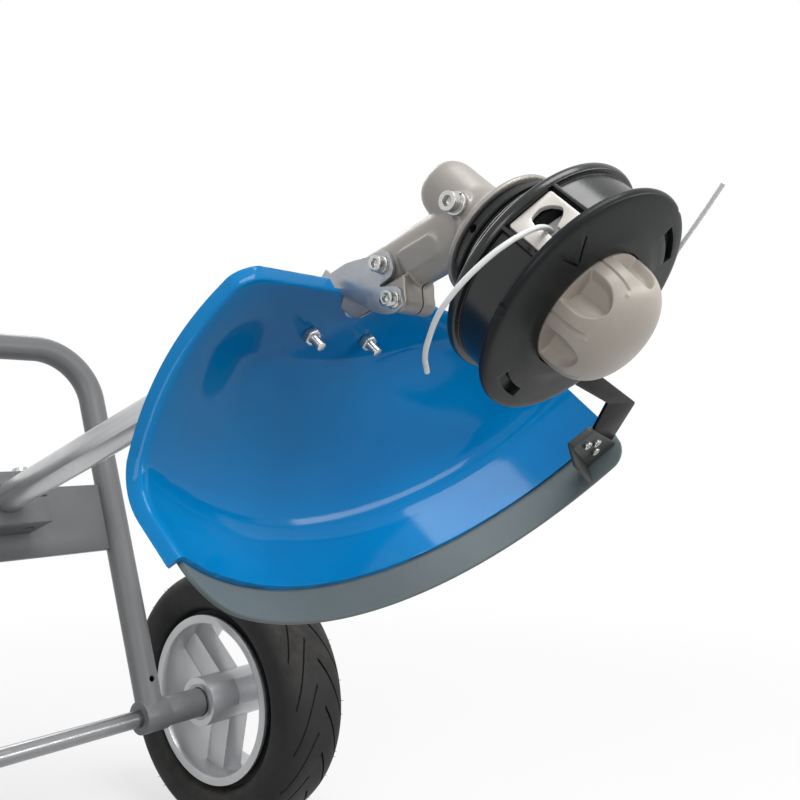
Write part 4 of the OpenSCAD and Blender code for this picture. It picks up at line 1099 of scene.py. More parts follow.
class BRUSHCUTTER_OT_make_gear_case(bpy.types.Operator):
    """Cast gear case: boss, bell, neck, lug and plug boss run into each other with cast fillets"""

    bl_idname = "brushcutter.make_gear_case"
    bl_label = "Gear case"

    voxel = 0.8
    fillet_passes = 10
    neck_start = 2
    belly_run = (6, 50)
    pad_plan = [(-7, 22), (6, 22), (6, 49), (-7, 49)]
    pad_corner = 4
    pad_turn = -22
    pad_rise = 1.4
    bore_gap = 0.05
    slit_half = 0.8
    seat_r = 17.5
    seat_top = -9.1
    recess_r = 21.5
    recess_deep = 2

    def execute(self, context):
        s = plain(context.scene.cutter_case)
        case = self.join_bodies(s)
        self.cast(case)
        combine(case, self.bores(s), "DIFFERENCE")
        hand_over(case, "chassis", "cast_alloy", "cast_grey", "gear_case", sharp=48)
        return {"FINISHED"}

    def neck(self, s, low, high):
        """A round length of the neck."""
        return lathe(rounded([(0, low), (s.neck_r, low), (s.neck_r, high), (0, high)], [0, 0.5, 1.2, 0]))

    def join_bodies(self, s):
        """The case's bodies as one mesh of overlapping closed shapes."""
        corner = [
            (0, s.boss_top), (s.boss_r - 6, s.boss_top), (s.boss_r, s.boss_top - 7), (s.boss_r, 3),
            (s.boss_r + 4, -5), (s.bell_r - 6, -s.bell_drop + 6), (s.bell_r - 1, -s.bell_drop + 3.5),
            (s.bell_r, -s.bell_drop + 2.5), (s.bell_r, -s.bell_drop), (0, -s.bell_drop),
        ]
        lug = [(s.lug_h, -s.lug_r), (-s.tube_r, -s.lug_r - 3), (-s.tube_r, s.lug_r + 3), (s.lug_h, s.lug_r)]
        lug = prism(np.asarray(lug) + [0, s.lug_s], -s.neck_r, s.lug_far)
        pad = prism(rounded(self.pad_plan, self.pad_corner), 0, s.neck_r + self.pad_rise)
        bodies = [
            (in_head, lathe(rounded(corner, [0, 5, 7, 4, 5, 3, 1, 1, 0.6, 0]))),
            (in_tube, self.neck(s, self.neck_start, s.neck_len)),
            (in_tube, laid(self.neck(s, *self.belly_run), "z", (-s.belly_drop, 0, 0))),
            (in_tube, spun(laid(pad, "-y"), math.radians(self.pad_turn))),
            (in_tube, laid(lug, "y")),
            (in_tube, laid(rod(s.lug_r, -s.neck_r, s.lug_far), "y", (s.lug_h, 0, s.lug_s))),
            (in_head, laid(rod(s.plug_boss_r, 0, s.plug_face), "-y", (s.plug_x, 0, s.plug_z))),
        ]
        places, corners, start = [], [], 0
        for into, (points, faces) in bodies:
            flat = into(points).reshape(-1, 3)
            places.append(flat)
            corners += [[start + index for index in face] for face in faces]
            start += len(flat)
        return make_mesh("cast_gear_case", np.concatenate(places), corners)

    def cast(self, case):
        """Melts the bodies into one skin and relaxes its inner corners into fillets."""
        skin = case.modifiers.new("skin", "REMESH")
        skin.mode = "VOXEL"
        skin.voxel_size = self.voxel * MM
        relax = case.modifiers.new("fillets", "SMOOTH")
        relax.factor = 0.5
        relax.iterations = self.fillet_passes
        settle(case)

    def bores(self, s):
        """Bores for the tube, the plug and the screws, the pinch slit and the bell's open underside."""
        slit = slab(
            (s.lug_h - 2 * s.lug_r, -self.slit_half, 44), (-s.tube_r + 2, self.slit_half, s.neck_len + 4)
        )
        screw_r, under, inside = s.screw_r + self.bore_gap, -s.bell_drop - 2, s.bell_r - 3
        roof = -s.bell_drop + self.recess_deep
        recess = np.array([(self.recess_r, under), (inside, under), (inside, roof), (self.recess_r, roof)])
        cuts = [
            ("bore", in_tube, rod(s.tube_r + self.bore_gap, 24, s.neck_len + 5, 96)),
            ("slit", in_tube, slit),
            ("plug", in_head, laid(rod(s.plug_r, 2, s.plug_face + 4), "-y", (s.plug_x, 0, s.plug_z))),
            ("pinch", in_tube, laid(rod(screw_r, -s.lug_far - 2, s.neck_r + 4), "-y", (s.lug_h, 0, s.lug_s))),
            ("lock", in_tube, laid(rod(screw_r, s.tube_r - 2, s.neck_r + 4), "-y", (s.lock_h, 0, s.lock_s))),
            ("seat", in_head, rod(self.seat_r, under, self.seat_top, 96)),
            ("recess", in_head, lathe(recess)),
        ]
        return [set_shape(*cut) for cut in cuts]


# Side outline of the bracket's plate, over the tube's axis and along the tube in millimetres, and how far
# each corner is rounded
BRACKET_SIDE = [
    (4.8, 52.5), (5.2, 63), (10.5, 84), (12, 104), (1, 104), (-30, 68), (-32, 59), (-30.5, 51.5), (-19, 51.5),
    (-13, 67), (-11, 52.5),
]
BRACKET_RADII = [7, 8, 8, 1, 1, 7, 4, 6, 6, 4, 6]


class BRUSHCUTTER_OT_make_bracket(bpy.types.Operator):
    """Sheet bracket between the neck and the guard, and the saddle over the tube"""

    bl_idname = "brushcutter.make_bracket"
    bl_label = "Bracket and saddle"

    # The plate is trimmed to its outline right of its face and ahead of the foot. The rest stays.
    plate_face = -15.6
    foot_front = -79.4

    def execute(self, context):
        bracket = copy_node("guard_bracket")
        outline = rounded(BRACKET_SIDE, BRACKET_RADII)
        room = set_shape("plate_room", in_tube, laid(prism(outline, 15, 40), "-y"))
        inner = slab((-90, self.plate_face, -60), (90, 90, 260))
        rest = slab((-200, -41, -200), (self.foot_front, 41, 200))
        others = [set_shape("inner_room", in_tube, inner), set_shape("rest_room", in_head, rest)]
        for other in others:
            combine(room, [other], "UNION")
        combine(bracket, [room], "INTERSECT")
        soften(bracket, 0.5)
        hand_over(bracket, "chassis", "bracket_sheet", "sheet_silver", "guard_bracket")
        dress("tube_saddle", "bracket_sheet", "sheet_silver", 0.4)
        return {"FINISHED"}


# Guard, skirt and cutter


# Guides of the roof's curve in plan at its right and left end, in millimetres across the head's axis
RIGHT_GUIDE = np.array([-134.0, -129.0])
LEFT_GUIDE = np.array([-84.0, 150.0])

# Shares of the way from panel to wall: how far the roof's middle stays level, and where the crease starts
FLAT_SHARE = 0.36
ROOF_SHARE = 0.89

# Direction in which the flange rises from the front edge, in the head's frame
FRONT_RISE = np.array([0.24, 0, 0.97])


def guard_inner(s, u, v):
    """Inner face of the guard, u from right to left and v over roof (0 to 1), crease (to 2) and wall (to 3).

    The roof is a quadratic curve in plan from the panel's front edge to the wall's arc. Over its share t it
    falls from the panel to the crease, at its ends as 0.4 t + 0.6 t squared, and in the middle by a power of
    1.2 after a level part. A second quadratic curve turns it into the upright wall.
    """
    sweep = mix(-s.right_sweep, s.left_sweep, u)
    rear = np.stack([-s.guard_r * np.cos(sweep), s.guard_r * np.sin(sweep)], -1)
    front = np.stack([0 * u - s.panel_front, mix(s.panel_right, s.panel_left, u)], -1)
    bulge = np.stack([s.guide_back * 4 * u * (1 - u), 0 * u], -1)
    guide = mix(RIGHT_GUIDE, LEFT_GUIDE, u[..., None]) - bulge
    middle = step(0, 0.25, np.minimum(u, 1 - u))

    def roof(share):
        flat = bend(front, guide, rear, share[..., None])
        level = np.clip((share - FLAT_SHARE) / (1 - FLAT_SHARE), 0, 1) ** 1.2
        fall = mix(0.4 * share + 0.6 * share**2, level, middle)
        return np.concatenate([flat, mix(s.panel_z, s.crease_z, fall)[..., None]], -1)

    def wall_at(height):
        return np.concatenate([rear, (0 * u + height)[..., None]], -1)

    turn = np.clip(v - 1, 0, 1)[..., None]
    wall_top = s.crease_z - s.fillet_drop
    crease = bend(roof(0 * u + ROOF_SHARE), wall_at(s.crease_z - 2), wall_at(wall_top), turn)
    wall = wall_at(mix(wall_top, -s.wall_drop, np.clip(v - 2, 0, 1)))
    place = np.where((v < 1)[..., None], roof(ROOF_SHARE * np.clip(v, 0, 1)), crease)
    return np.where((v > 2)[..., None], wall, place)


def soft_part(value, fold):
    """The positive part of a length, run in smoothly over a fold."""
    return (value + np.sqrt(value * value + 4 * fold * fold)) / 2


def guard_sheet(s, fold=1.3, corner=13.0):
    """The guard's inner face with its right and front edges folded into one flange round their corner.

    Lengths a over the width and b over the depth run below zero into the flange. What lies outside the
    rounded corner is set back to its edge, and its soft positive distance from there is the flange's height.
    """
    width, depth = 165.0, 150.0
    du, dv = 0.02, 0.03
    near = np.concatenate([np.linspace(-s.lip_h, -5, 4), np.linspace(-4, 8, 16), np.linspace(10, 38, 16)])
    a = np.concatenate([near, np.linspace(41, width, 60)])
    b = np.concatenate([near, np.linspace(41, 3 * depth, 120)])
    a, b = np.meshgrid(a, b, indexing="ij")
    inset = np.stack([np.clip(corner - a, 0, None), np.clip(corner - b, 0, None)], -1)
    reach = np.linalg.norm(inset, axis=-1)
    push = inset / np.maximum(reach, 1e-9)[..., None]
    over = soft_part(reach - corner, fold)
    u = np.clip((a + push[..., 0] * over) / width, 0, 1)
    v = np.clip((b + push[..., 1] * over) / depth, 0, 3)
    zero = np.zeros_like(u)
    along = guard_inner(s, zero + du, v) - guard_inner(s, zero, v)
    above, below = np.clip(v - dv, 0, 3), np.clip(v + dv, 0, 3)
    down = guard_inner(s, zero, above) - guard_inner(s, zero, below)
    out = np.cross(down, along)
    out /= np.linalg.norm(out, axis=-1, keepdims=True)
    rise = push[..., :1] * out + push[..., 1:] * FRONT_RISE
    rise /= np.maximum(np.linalg.norm(rise, axis=-1, keepdims=True), 1e-9)
    points = guard_inner(s, u, v) + np.minimum(over, s.lip_h)[..., None] * rise
    faces = grid_quads(*u.shape)
    return points, faces[(over.ravel()[faces] < s.lip_h).any(1)]


class BRUSHCUTTER_OT_make_guard(bpy.types.Operator):
    """Guard: one smooth sheet with folded flanges, given its wall, and cut for the neck and the bolts"""

    bl_idname = "brushcutter.make_guard"
    bl_label = "Guard"

    notch_r = 6
    bolt_gap = 0.3

    def execute(self, context):
        s = plain(context.scene.cutter_guard)
        guard = set_shape("blue_guard", in_head, guard_sheet(s))
        self.face_outwards(guard)
        wall = guard.modifiers.new("wall", "SOLIDIFY")
        wall.thickness = s.wall * MM
        wall.offset = 1.0
        wall.use_even_offset = True
        settle(guard)
        low = (-s.notch_back, -s.notch_half, s.panel_z + s.wall)
        high = (0, s.notch_half, s.panel_z + 25)
        cuts = [set_shape("notch", in_head, slab(low, high, self.notch_r))]
        for side in (-1, 1):
            shape = rod(s.bolt_r + self.bolt_gap, s.panel_z - 5, s.panel_z + 15)
            cuts.append(set_shape("hole", in_head, laid(shape, "z", (s.bolt_x, side * s.bolt_y, 0))))
        combine(guard, cuts, "DIFFERENCE")
        soften(guard, 0.7, 3, 55)
        hand_over(guard, "chassis", "guard_blue", "guard_blue", "guard", sharp=60)
        return {"FINISHED"}

    def face_outwards(self, guard):
        """Turns the sheet so that its faces look away from the head."""
        mesh = guard.data
        middle = np.zeros(len(mesh.polygons) * 3)
        normal = np.zeros(len(mesh.polygons) * 3)
        mesh.polygons.foreach_get("center", middle)
        mesh.polygons.foreach_get("normal", normal)
        outward = middle.reshape(-1, 3) - HEAD_CENTRE
        if (outward * normal.reshape(-1, 3)).sum() < 0:
            mesh.flip_normals()


# Plans of the cutter's block and of the cutter: how far inside the skirt, and the angle about the head's axis
BLOCK_PLAN = [(46.4, 121.8), (47.1, 128), (-2.1, 124.6), (-1.2, 118.1)]
CUTTER_PLAN = [
    (40.8, 121.5), (60.6, 116.3), (119.1, 123.8), (126.1, 123.1), (110.2, 115.7), (25.6, 111), (-0.5, 119.3),
    (8.8, 123.7), (39.1, 126.2), (43.7, 124.2),
]
CUTTER_RADII = [2, 1, 1.5, 1.5, 2, 2.5, 2, 2, 2, 2]

# Room between the guard's wall and the skirt
SKIRT_GAP = 0.3


def inside_skirt(s, places):
    """Flat points of the head's frame from distances inside the skirt and angles."""
    inset, turn = np.asarray(places, float).T
    radius = s.guard_r + s.wall + SKIRT_GAP - inset
    return np.column_stack([radius * np.cos(np.radians(turn)), radius * np.sin(np.radians(turn))])


class BRUSHCUTTER_OT_make_skirt(bpy.types.Operator):
    """Skirt along the guard's wall, with the dark block that carries the cutter"""

    bl_idname = "brushcutter.make_skirt"
    bl_label = "Skirt and block"

    # How many degrees the skirt ends before the guard, how its right end is drawn out and what is left of its
    # height there, and its steps along the wall
    short_by = 1.5
    end_slope = 0.5
    end_foot = 4
    steps = 240
    # The block's thickness, the wall's thickness and lean across the head's axis, and its lap over the block
    block_t = 5.6
    wall_t = (2.1, 1.4)
    wall_lean = (-4.5, -10)
    wall_lap = 5

    def execute(self, context):
        s = plain(context.scene.cutter_guard)
        inner = s.guard_r + s.wall + SKIRT_GAP
        low, high = -s.wall_drop - s.skirt_show, -s.wall_drop + s.skirt_lap
        corner = [(inner, high), (inner + s.skirt_wall, high), (inner + s.skirt_wall, low), (inner, low)]
        section = rounded(corner, [0.6, 1, 1.4, 1.4])
        end = math.pi + s.right_sweep - math.radians(self.short_by)
        sweep = np.linspace(math.pi - s.left_sweep, end, self.steps)[:, None]
        rise = np.maximum(
            self.corner_rise((sweep - sweep[0]) * inner, s.skirt_corner),
            self.corner_rise((sweep[-1] - sweep) * inner * self.end_slope, s.skirt_show - self.end_foot),
        )
        share = (section[None, :, 1] - low) / (high - low)
        height = mix(low + rise, high, share)
        radius = section[None, :, 0]
        points = np.stack([radius * np.cos(sweep), radius * np.sin(sweep), height], -1)
        many = len(section)
        faces = grid_quads(len(sweep), many, False, True).tolist()
        last = (len(sweep) - 1) * many
        faces += [list(range(many)), list(range(last, last + many))]
        skirt = set_shape("grey_skirt", in_head, (points, faces))
        soften(skirt, 0.4, 2, 60)
        hand_over(skirt, "chassis", "skirt_grey", "skirt_grey", "guard_skirt")
        self.make_block(s)
        return {"FINISHED"}

    def corner_rise(self, along, radius):
        """Height of the lower edge over its level, a quarter circle from the end of the skirt."""
        return radius - np.sqrt(np.clip(radius**2 - np.clip(radius - along, 0, None) ** 2, 0, None))

    def make_block(self, s):
        """Flat seat for the cutter's screws, with a wall down its far side; the wall's dark finish is painted
        shade on the block's shaded side.
        """
        plan = inside_skirt(s, BLOCK_PLAN)
        shape = prism(rounded(plan, 2.5), s.block_low, s.block_low + self.block_t)
        block = set_shape("cutter_block", in_head, shape)
        side = [plan[1], plan[2], plan[2] + self.wall_t, plan[1] + self.wall_t]
        points, faces = prism(side, -s.wall_drop - s.skirt_show, s.block_low + self.wall_lap)
        points[0, :, :2] += self.wall_lean
        wall = make_mesh("block_wall", in_head(points), faces)
        soften(block, 0.6, 3, 50)
        hand_over(block, "chassis", "skirt_grey", "block_grey")
        # The wall's dark seal finish is painted shade: it darkens the side of the block that lies in shade
        soften(wall, 0.4, 2, 50)
        hand_over(wall, "chassis", "skirt_grey", "seal_dark")


class BRUSHCUTTER_OT_make_cutter(bpy.types.Operator):
    """Line cutter, a flat black blade with rounded corners"""

    bl_idname = "brushcutter.make_cutter"
    bl_label = "Line cutter"

    def execute(self, context):
        s = plain(context.scene.cutter_guard)
        outline = rounded(inside_skirt(s, CUTTER_PLAN), CUTTER_RADII)
        shape = prism(outline, s.cutter_z, s.cutter_z + s.cutter_t)
        blade = set_shape("black_line_cutter", in_head, shape)
        soften(blade, 0.3, 2, 50)
        hand_over(blade, "chassis", "cutter_black", "cutter_black", "line_cutter")
        return {"FINISHED"}


class BRUSHCUTTER_OT_make_fasteners(bpy.types.Operator):
    """Screws, washers, bolts, nuts and the grease plug, with their edges broken"""

    bl_idname = "brushcutter.make_fasteners"
    bl_label = "Fasteners"

    def execute(self, context):
        for node in (
            "grease_plug", "locating_screw", "pinch_screw", "spring_washers", "guard_bolts", "guard_nuts",
            "cutter_screws", "skirt_screws", "clamp_bolts", "axle_nuts", "knob_screw",
        ):
            dress(node, "zinc_steel", "zinc_bright", 0.35)
        return {"FINISHED"}


# Carriage


class BRUSHCUTTER_OT_make_carriage(bpy.types.Operator):
    """Hoop, cross plate, tube clamp, axle and collars"""

    bl_idname = "brushcutter.make_carriage"
    bl_label = "Carriage"

    def execute(self, context):
        dress("frame_hoop", "frame_grey", "frame_grey", 0.8)
        dress("cross_plate", "frame_grey", "frame_grey", 1.2)
        dress("clamp_base", "frame_grey", "frame_grey", 1.5)
        dress("clamp_cap", "frame_grey", "frame_grey", 1.5)
        dress("axle", "ground_steel", "steel_grey", 1.0)
        dress("axle_collars", "frame_grey", "frame_grey", 0.5)
        return {"FINISHED"}


class BRUSHCUTTER_OT_make_shaft(bpy.types.Operator):
    """Shaft tube"""

    bl_idname = "brushcutter.make_shaft"
    bl_label = "Shaft tube"

    def execute(self, context):
        dress("shaft_tube", "alloy_tube", "tube_silver", 0.3)
        return {"FINISHED"}


# Powers of the sine and the cosine that make a tyre's section square, and the angles of its beads in degrees
RADIUS_POWER = 0.75
WIDTH_POWER = 0.6
BEADS = (-65, 245)

# Half the width of a groove's upright wall and of its end, and the power that bends it over the tread
GROOVE_STEP = 0.2
GROOVE_STOP = 0.5
GROOVE_BEND = 1.25


def tyre_section(s, inset, a):
    """Tyre outline by angle a from bead to bead.

    The radius is the middle plus half the height times sin(a) to the radius's power, and the width is half
    the width times cos(a) to the width's power. Both keep the sign of the sine or cosine.
    """
    crown, edge = s.tyre_d / 2, s.rim_d / 2
    middle, tall, half = (crown + edge) / 2, (crown - edge) / 2 - inset, s.tyre_w / 2 - inset
    radius = middle + tall * np.sign(np.sin(a)) * np.abs(np.sin(a)) ** RADIUS_POWER
    across = half * np.sign(np.cos(a)) * np.abs(np.cos(a)) ** WIDTH_POWER
    return radius, across


def tread_columns(s, between=5):
    """Places round the crown, whether each is on a groove's floor, and the side that the groove is on.

    Zones of half a pitch follow each other, and their grooves lie on the outer and the inner side in turn.
    """
    zone_len = math.pi * s.tyre_d / 2 / s.tread_blocks
    wall = s.groove_w / 2
    edge = [-wall - GROOVE_STEP, -wall + GROOVE_STEP, wall - GROOVE_STEP, wall + GROOVE_STEP]
    land = np.linspace(wall + GROOVE_STEP, zone_len - wall - GROOVE_STEP, between + 2)[1:-1]
    zone = np.concatenate([edge, land])
    many = 2 * s.tread_blocks
    place = (np.arange(many)[:, None] * zone_len + zone[None]).ravel()
    return place, np.tile(np.abs(zone) < wall, many), np.repeat(np.arange(many) % 2, len(zone))


def tyre_surface(s, steps=64):
    """Tyre skin: its section turned about the axle, with curved slanted grooves let into the tread.

    The columns of the grid lean with the grooves, by the groove's run times a power of the share of the way
    from its inner to its outer end, so that each groove has crisp walls.
    """
    ends = np.array([
        s.groove_start - GROOVE_STOP, s.groove_start + GROOVE_STOP,
        s.groove_end - GROOVE_STOP, s.groove_end + GROOVE_STOP,
    ])
    turns = np.arccos((ends / (s.tyre_w / 2)) ** (1 / WIDTH_POWER))
    a = np.sort(np.concatenate([np.radians(np.linspace(*BEADS, steps)), turns, np.pi - turns]))
    radius, across = tyre_section(s, 0, a)
    crown, reach = s.tyre_d / 2, np.abs(across)
    share = np.clip((reach - s.groove_start) / (s.groove_end - s.groove_start), 0, 1) ** GROOVE_BEND
    share = np.where(radius > (crown + s.rim_d / 2) / 2, share, 1)
    lean = s.groove_run * (share - 0.5)
    window = (reach > s.groove_start) & (reach < s.groove_end) & (radius > crown - 12)
    place, floor, side = tread_columns(s)
    depth = s.tread_depth * (floor[:, None] & (side[:, None] == (across < 0)[None]) & window[None])
    turn = (place[:, None] + lean[None]) / crown
    skin = radius - depth
    outer = np.stack([skin * np.cos(turn), skin * np.sin(turn), across + 0 * turn], -1)
    inner_r, inner_z = tyre_section(s, s.tyre_wall, np.radians(np.linspace(*BEADS[::-1], 20)))
    bead = s.rim_d / 2 - s.rim_lip + 0.1
    feet = np.array([(bead, across[-1]), (bead, across[-1] + s.tyre_wall)])
    heads = np.array([(bead, across[0] - s.tyre_wall), (bead, across[0])])
    section = np.concatenate([feet, np.column_stack([inner_r, inner_z]), heads])
    turn = (place[:, None] + s.groove_run / 2) / crown
    ring, place_z = section.T
    rest = np.stack([ring * np.cos(turn), ring * np.sin(turn), place_z + 0 * turn], -1)
    points = np.concatenate([outer, rest], 1)
    return points, grid_quads(len(place), points.shape[1], True, True)


def tyre_whiskers(s, size=0.45, reach=3.4, shoulder=46, wander=9, drift=0.8):
    """Moulding whiskers on both shoulders: thin pyramids that lean outwards, unevenly spaced.

    Whisker n stands at the shoulder's angle plus the wander times sin(2.3 n) in the section, and round the
    tyre at n plus the drift times sin(5.1 n) steps.
    """
    count_round = 2 * s.tread_blocks
    points, faces = [], []
    for index in range(2 * count_round):
        side = 1 if index % 2 else -1
        a = math.radians(shoulder + wander * math.sin(index * 2.3))
        radius, across = tyre_section(s, 0.3, np.array([a]))
        turn = math.pi * (index + drift * math.sin(index * 5.1)) / count_round
        ray = np.array([math.cos(turn), math.sin(turn), 0])
        round_it = np.array([-ray[1], ray[0], 0])
        foot = radius[0] * ray + np.array([0, 0, side * across[0]])
        out = 0.6 * ray + np.array([0, 0, side * 0.8])
        flat = np.cross(out, round_it)
        start = len(points)
        points += [foot + size * (x * round_it + y * flat) for x, y in ((1, 0), (0, 1), (-1, 0), (0, -1))]
        points.append(foot + reach * out + 0.8 * round_it)
        faces += [[start, start + 1, start + 2, start + 3]]
        faces += [[start + k, start + (k + 1) % 4, start + 4] for k in range(4)]
    return np.array(points), faces


class BRUSHCUTTER_OT_make_wheels(bpy.types.Operator):
    """Both wheels: treaded tyres, spoked rims, bearings, valves and hub caps"""

    bl_idname = "brushcutter.make_wheels"
    bl_label = "Wheels"

    def execute(self, context):
        s = plain(context.scene.cutter_carriage)
        points, faces = tyre_surface(s)
        tips, tip_faces = tyre_whiskers(s)
        for side in ("left", "right"):
            tyre = make_mesh(f"treaded_tyre_{side}", in_wheel(points, side), faces)
            hand_over(tyre, f"wheel_{side}", "tyre_rubber", "tyre_black", f"tyre_{side}", sharp=40)
            whiskers = make_mesh(f"tyre_whiskers_{side}", in_wheel(tips, side), tip_faces)
            hand_over(whiskers, f"wheel_{side}", "tyre_rubber", "tyre_black")
            dress(f"rim_{side}", "rim_silver", "rim_silver", 1.6, 30)
            dress(f"hub_cap_{side}", "cap_black", "seal_dark", 1.5)
            dress(f"valve_{side}", "cap_black", "seal_dark", 0.5)
            dress(f"wheel_bearings_{side}", "bearing_steel", "steel_grey", 0.3)
        return {"FINISHED"}


class BRUSHCUTTER_OT_finish_inner_parts(bpy.types.Operator):
    """Finishes of the solids that stay: shafts, gears, bearings, seal, bushes, spool and seat"""

    bl_idname = "brushcutter.finish_inner_parts"
    bl_label = "Inner parts"

    looks = {
        "steel_grey": (
            "drive_shaft", "pinion", "input_bearings", "bearing_circlip", "output_bearings", "output_shaft",
            "crown_gear",
        ),
        "seal_dark": ("shaft_bushes", "output_seal", "spool"),
        "zinc_bright": ("spring_seat",),
        "line_white": ("wound_line",),
    }

    def execute(self, context):
        for look, nodes in self.looks.items():
            for node in nodes:
                mesh = frame["nodes"][node].data
                mesh.materials.clear()
                mesh.materials.append(finish(look))
        return {"FINISHED"}


# Stage

WHITE = (1.0, 1.0, 1.0, 1.0)


class BRUSHCUTTER_OT_make_stage(bpy.types.Operator):
    """Camera, pale floor, white surround and soft studio lamps"""

    bl_idname = "brushcutter.make_stage"
    bl_label = "Stage"

    # The floor's radius in millimetres, its gap under the tyres in metres, and its colours to light and eye
    floor_r = 6000.0
    floor_gap = 0.0005
    floor_lit = (0.32, 0.32, 0.32)
    floor_seen = (0.9, 0.9, 0.9)

    def execute(self, context):
        self.make_camera(context)
        self.make_floor(context)
        self.make_surround(context)
        self.make_lamps(context)
        context.scene.view_settings.view_transform = "Standard"
        return {"FINISHED"}

    def make_camera(self, context):
        view = context.scene.cutter_camera
        lens = bpy.data.cameras.new("main_view")
        lens.sensor_width = 36.0
        lens.lens = view.lens
        camera = bpy.data.objects.new("main_view", lens)
        camera.location = view.place
        camera.rotation_euler = (view.tilt, 0.0, view.bearing)
        context.scene.collection.objects.link(camera)
        context.scene.camera = camera

    def seen_directly(self, tree):
        """1 for rays from the camera, from gloss and through glass, 0 for light that falls on the machine."""
        path = tree.nodes.new("ShaderNodeLightPath")
        either = shader_node(tree, "ShaderNodeMath", operation="MAXIMUM")
        any_ray = shader_node(tree, "ShaderNodeMath", operation="MAXIMUM")
        link(path, "Is Camera Ray", either, 0)
        link(path, "Is Glossy Ray", either, 1)
        link(either, "Value", any_ray, 0)
        link(path, "Is Transmission Ray", any_ray, 1)
        return any_ray.outputs["Value"]

    def make_floor(self, context):
        """A wide pale disc under the tyres that keeps the shadow and fades to white."""
        points, faces = rod(self.floor_r, -1, 0, 64)
        middle = np.array([0.4, 0.0, TYRE_FOOT])
        floor = make_mesh("floor", points * MM + middle - [0, 0, self.floor_gap], faces)
        material = bpy.data.materials.new("pale_floor")
        material.use_nodes = True
        tree = material.node_tree
        paint = tree.nodes["Principled BSDF"]
        paint.inputs["Roughness"].default_value = 0.9
        glow = shader_node(tree, "ShaderNodeEmission", {"Color": WHITE, "Strength": 1.0})
        blend = tree.nodes.new("ShaderNodeMixShader")
        seen = self.seen_directly(tree)
        tint = mixed_colour(tree, self.floor_lit, self.floor_seen, seen)
        tree.links.new(tint, paint.inputs["Base Color"])
        place = tree.nodes.new("ShaderNodeTexCoord")
        away = shader_node(tree, "ShaderNodeVectorMath", {1: tuple(middle)}, operation="DISTANCE")
        link(place, "Object", away, 0)
        fade = shader_node(tree, "ShaderNodeMapRange", {
            "From Min": 0.4, "From Max": 1.6, "To Min": 0.62, "To Max": 1.0}, interpolation_type="SMOOTHSTEP")
        link(away, "Value", fade, "Value")
        share = shader_node(tree, "ShaderNodeMath", operation="MULTIPLY")
        tree.links.new(seen, share.inputs[0])
        link(fade, "Result", share, 1)
        link(share, "Value", blend, "Fac")
        link(paint, "BSDF", blend, 1)
        link(glow, "Emission", blend, 2)
        link(blend, "Shader", tree.nodes["Material Output"], "Surface")
        floor.data.materials.append(material)

    def make_surround(self, context):
        """White where it is seen, a softer light where it falls on the machine."""
        world = bpy.data.worlds.new("studio")
        context.scene.world = world
        world.use_nodes = True
        tree = world.node_tree
        light = tree.nodes["Background"]
        light.inputs["Color"].default_value = WHITE
        light.inputs["Strength"].default_value = 0.32
        white = shader_node(tree, "ShaderNodeBackground", {"Color": WHITE, "Strength": 1.0})
        blend = tree.nodes.new("ShaderNodeMixShader")
        tree.links.new(self.seen_directly(tree), blend.inputs["Fac"])
        link(light, "Background", blend, 1)
        link(white, "Background", blend, 2)
        link(blend, "Shader", tree.nodes["World Output"], "Surface")

    def make_lamps(self, context):
        """A soft box over the machine, a long low one ahead, a fill beside the camera and a box behind."""
        aim = Vector((0.6, 0.0, 0.12))
        lamps = (
            ("top_box", (1.5, -0.1, 1.95), (1.2, 1.1), 32.0),
            ("front_box", (2.5, 0.75, 0.65), (1.9, 0.36), 18.0),
            ("side_fill", (1.3, -2.0, 0.6), (0.9, 0.9), 10.0),
            ("rear_box", (-1.3, 0.9, 1.7), (1.0, 1.0), 14.0),
        )
        for name, place, size, power in lamps:
            lamp = bpy.data.lights.new(name, "AREA")
            lamp.shape = "RECTANGLE"
            lamp.size, lamp.size_y = size
            lamp.energy = power
            holder = bpy.data.objects.new(name, lamp)
            holder.location = place
            holder.rotation_euler = (holder.location - aim).to_track_quat("Z", "Y").to_euler()
            context.scene.collection.objects.link(holder)


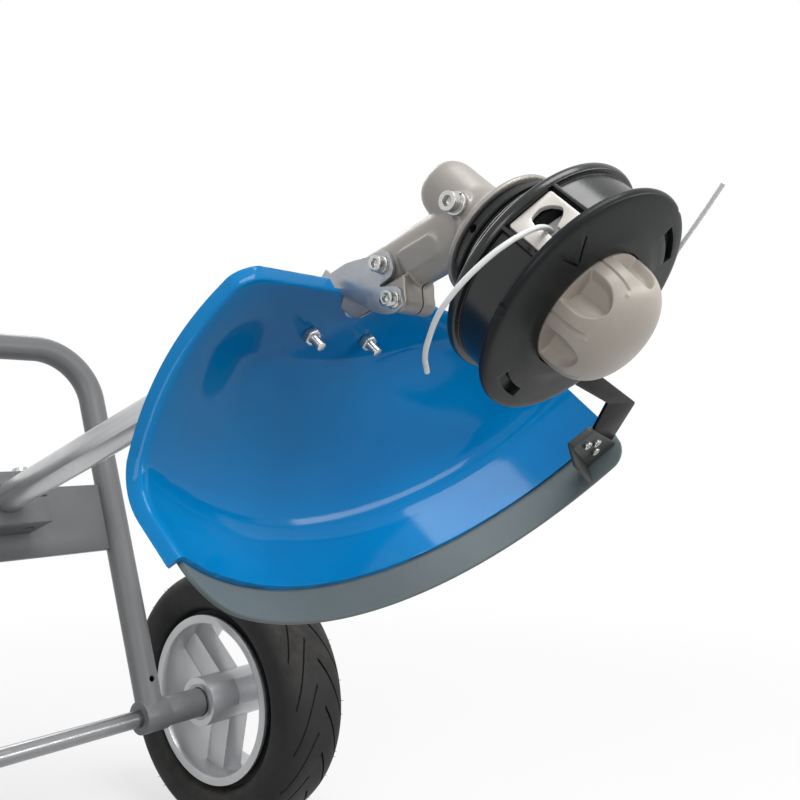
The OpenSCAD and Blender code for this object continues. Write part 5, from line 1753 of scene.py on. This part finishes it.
class BRUSHCUTTER_PT_panel(bpy.types.Panel):
    """Lists the makers of the machine's pieces"""

    bl_idname = "BRUSHCUTTER_PT_panel"
    bl_label = "Brush cutter"
    bl_space_type = "VIEW_3D"
    bl_region_type = "UI"
    bl_category = "Brush cutter"

    def draw(self, context):
        for maker in MAKERS:
            self.layout.operator(maker.bl_idname)


SIZE_GROUPS = {
    "cutter_head": HeadSizes,
    "cutter_case": CaseSizes,
    "cutter_guard": GuardSizes,
    "cutter_carriage": CarriageSizes,
    "cutter_finishes": Finishes,
    "cutter_camera": CameraPlace,
}
MAKERS = (
    BRUSHCUTTER_OT_make_stage,
    BRUSHCUTTER_OT_make_lines,
    BRUSHCUTTER_OT_make_head,
    BRUSHCUTTER_OT_make_knob,
    BRUSHCUTTER_OT_make_eyelets,
    BRUSHCUTTER_OT_make_gear_case,
    BRUSHCUTTER_OT_make_bracket,
    BRUSHCUTTER_OT_make_guard,
    BRUSHCUTTER_OT_make_skirt,
    BRUSHCUTTER_OT_make_cutter,
    BRUSHCUTTER_OT_make_fasteners,
    BRUSHCUTTER_OT_make_shaft,
    BRUSHCUTTER_OT_make_carriage,
    BRUSHCUTTER_OT_make_wheels,
    BRUSHCUTTER_OT_finish_inner_parts,
)


def register():
    """Registers the property groups, makers and panel."""
    for name, group in SIZE_GROUPS.items():
        bpy.utils.register_class(group)
        setattr(bpy.types.Scene, name, bpy.props.PointerProperty(type=group))
    for maker in MAKERS:
        bpy.utils.register_class(maker)
    bpy.utils.register_class(BRUSHCUTTER_PT_panel)


def unregister():
    """Removes what register added."""
    bpy.utils.unregister_class(BRUSHCUTTER_PT_panel)
    for maker in reversed(MAKERS):
        bpy.utils.unregister_class(maker)
    for name, group in SIZE_GROUPS.items():
        delattr(bpy.types.Scene, name)
        bpy.utils.unregister_class(group)


def main():
    """Makes every piece in order."""
    register()
    for maker in MAKERS:
        group, name = maker.bl_idname.split(".")
        getattr(getattr(bpy.ops, group), name)()


if __name__ == "__main__":
    main()
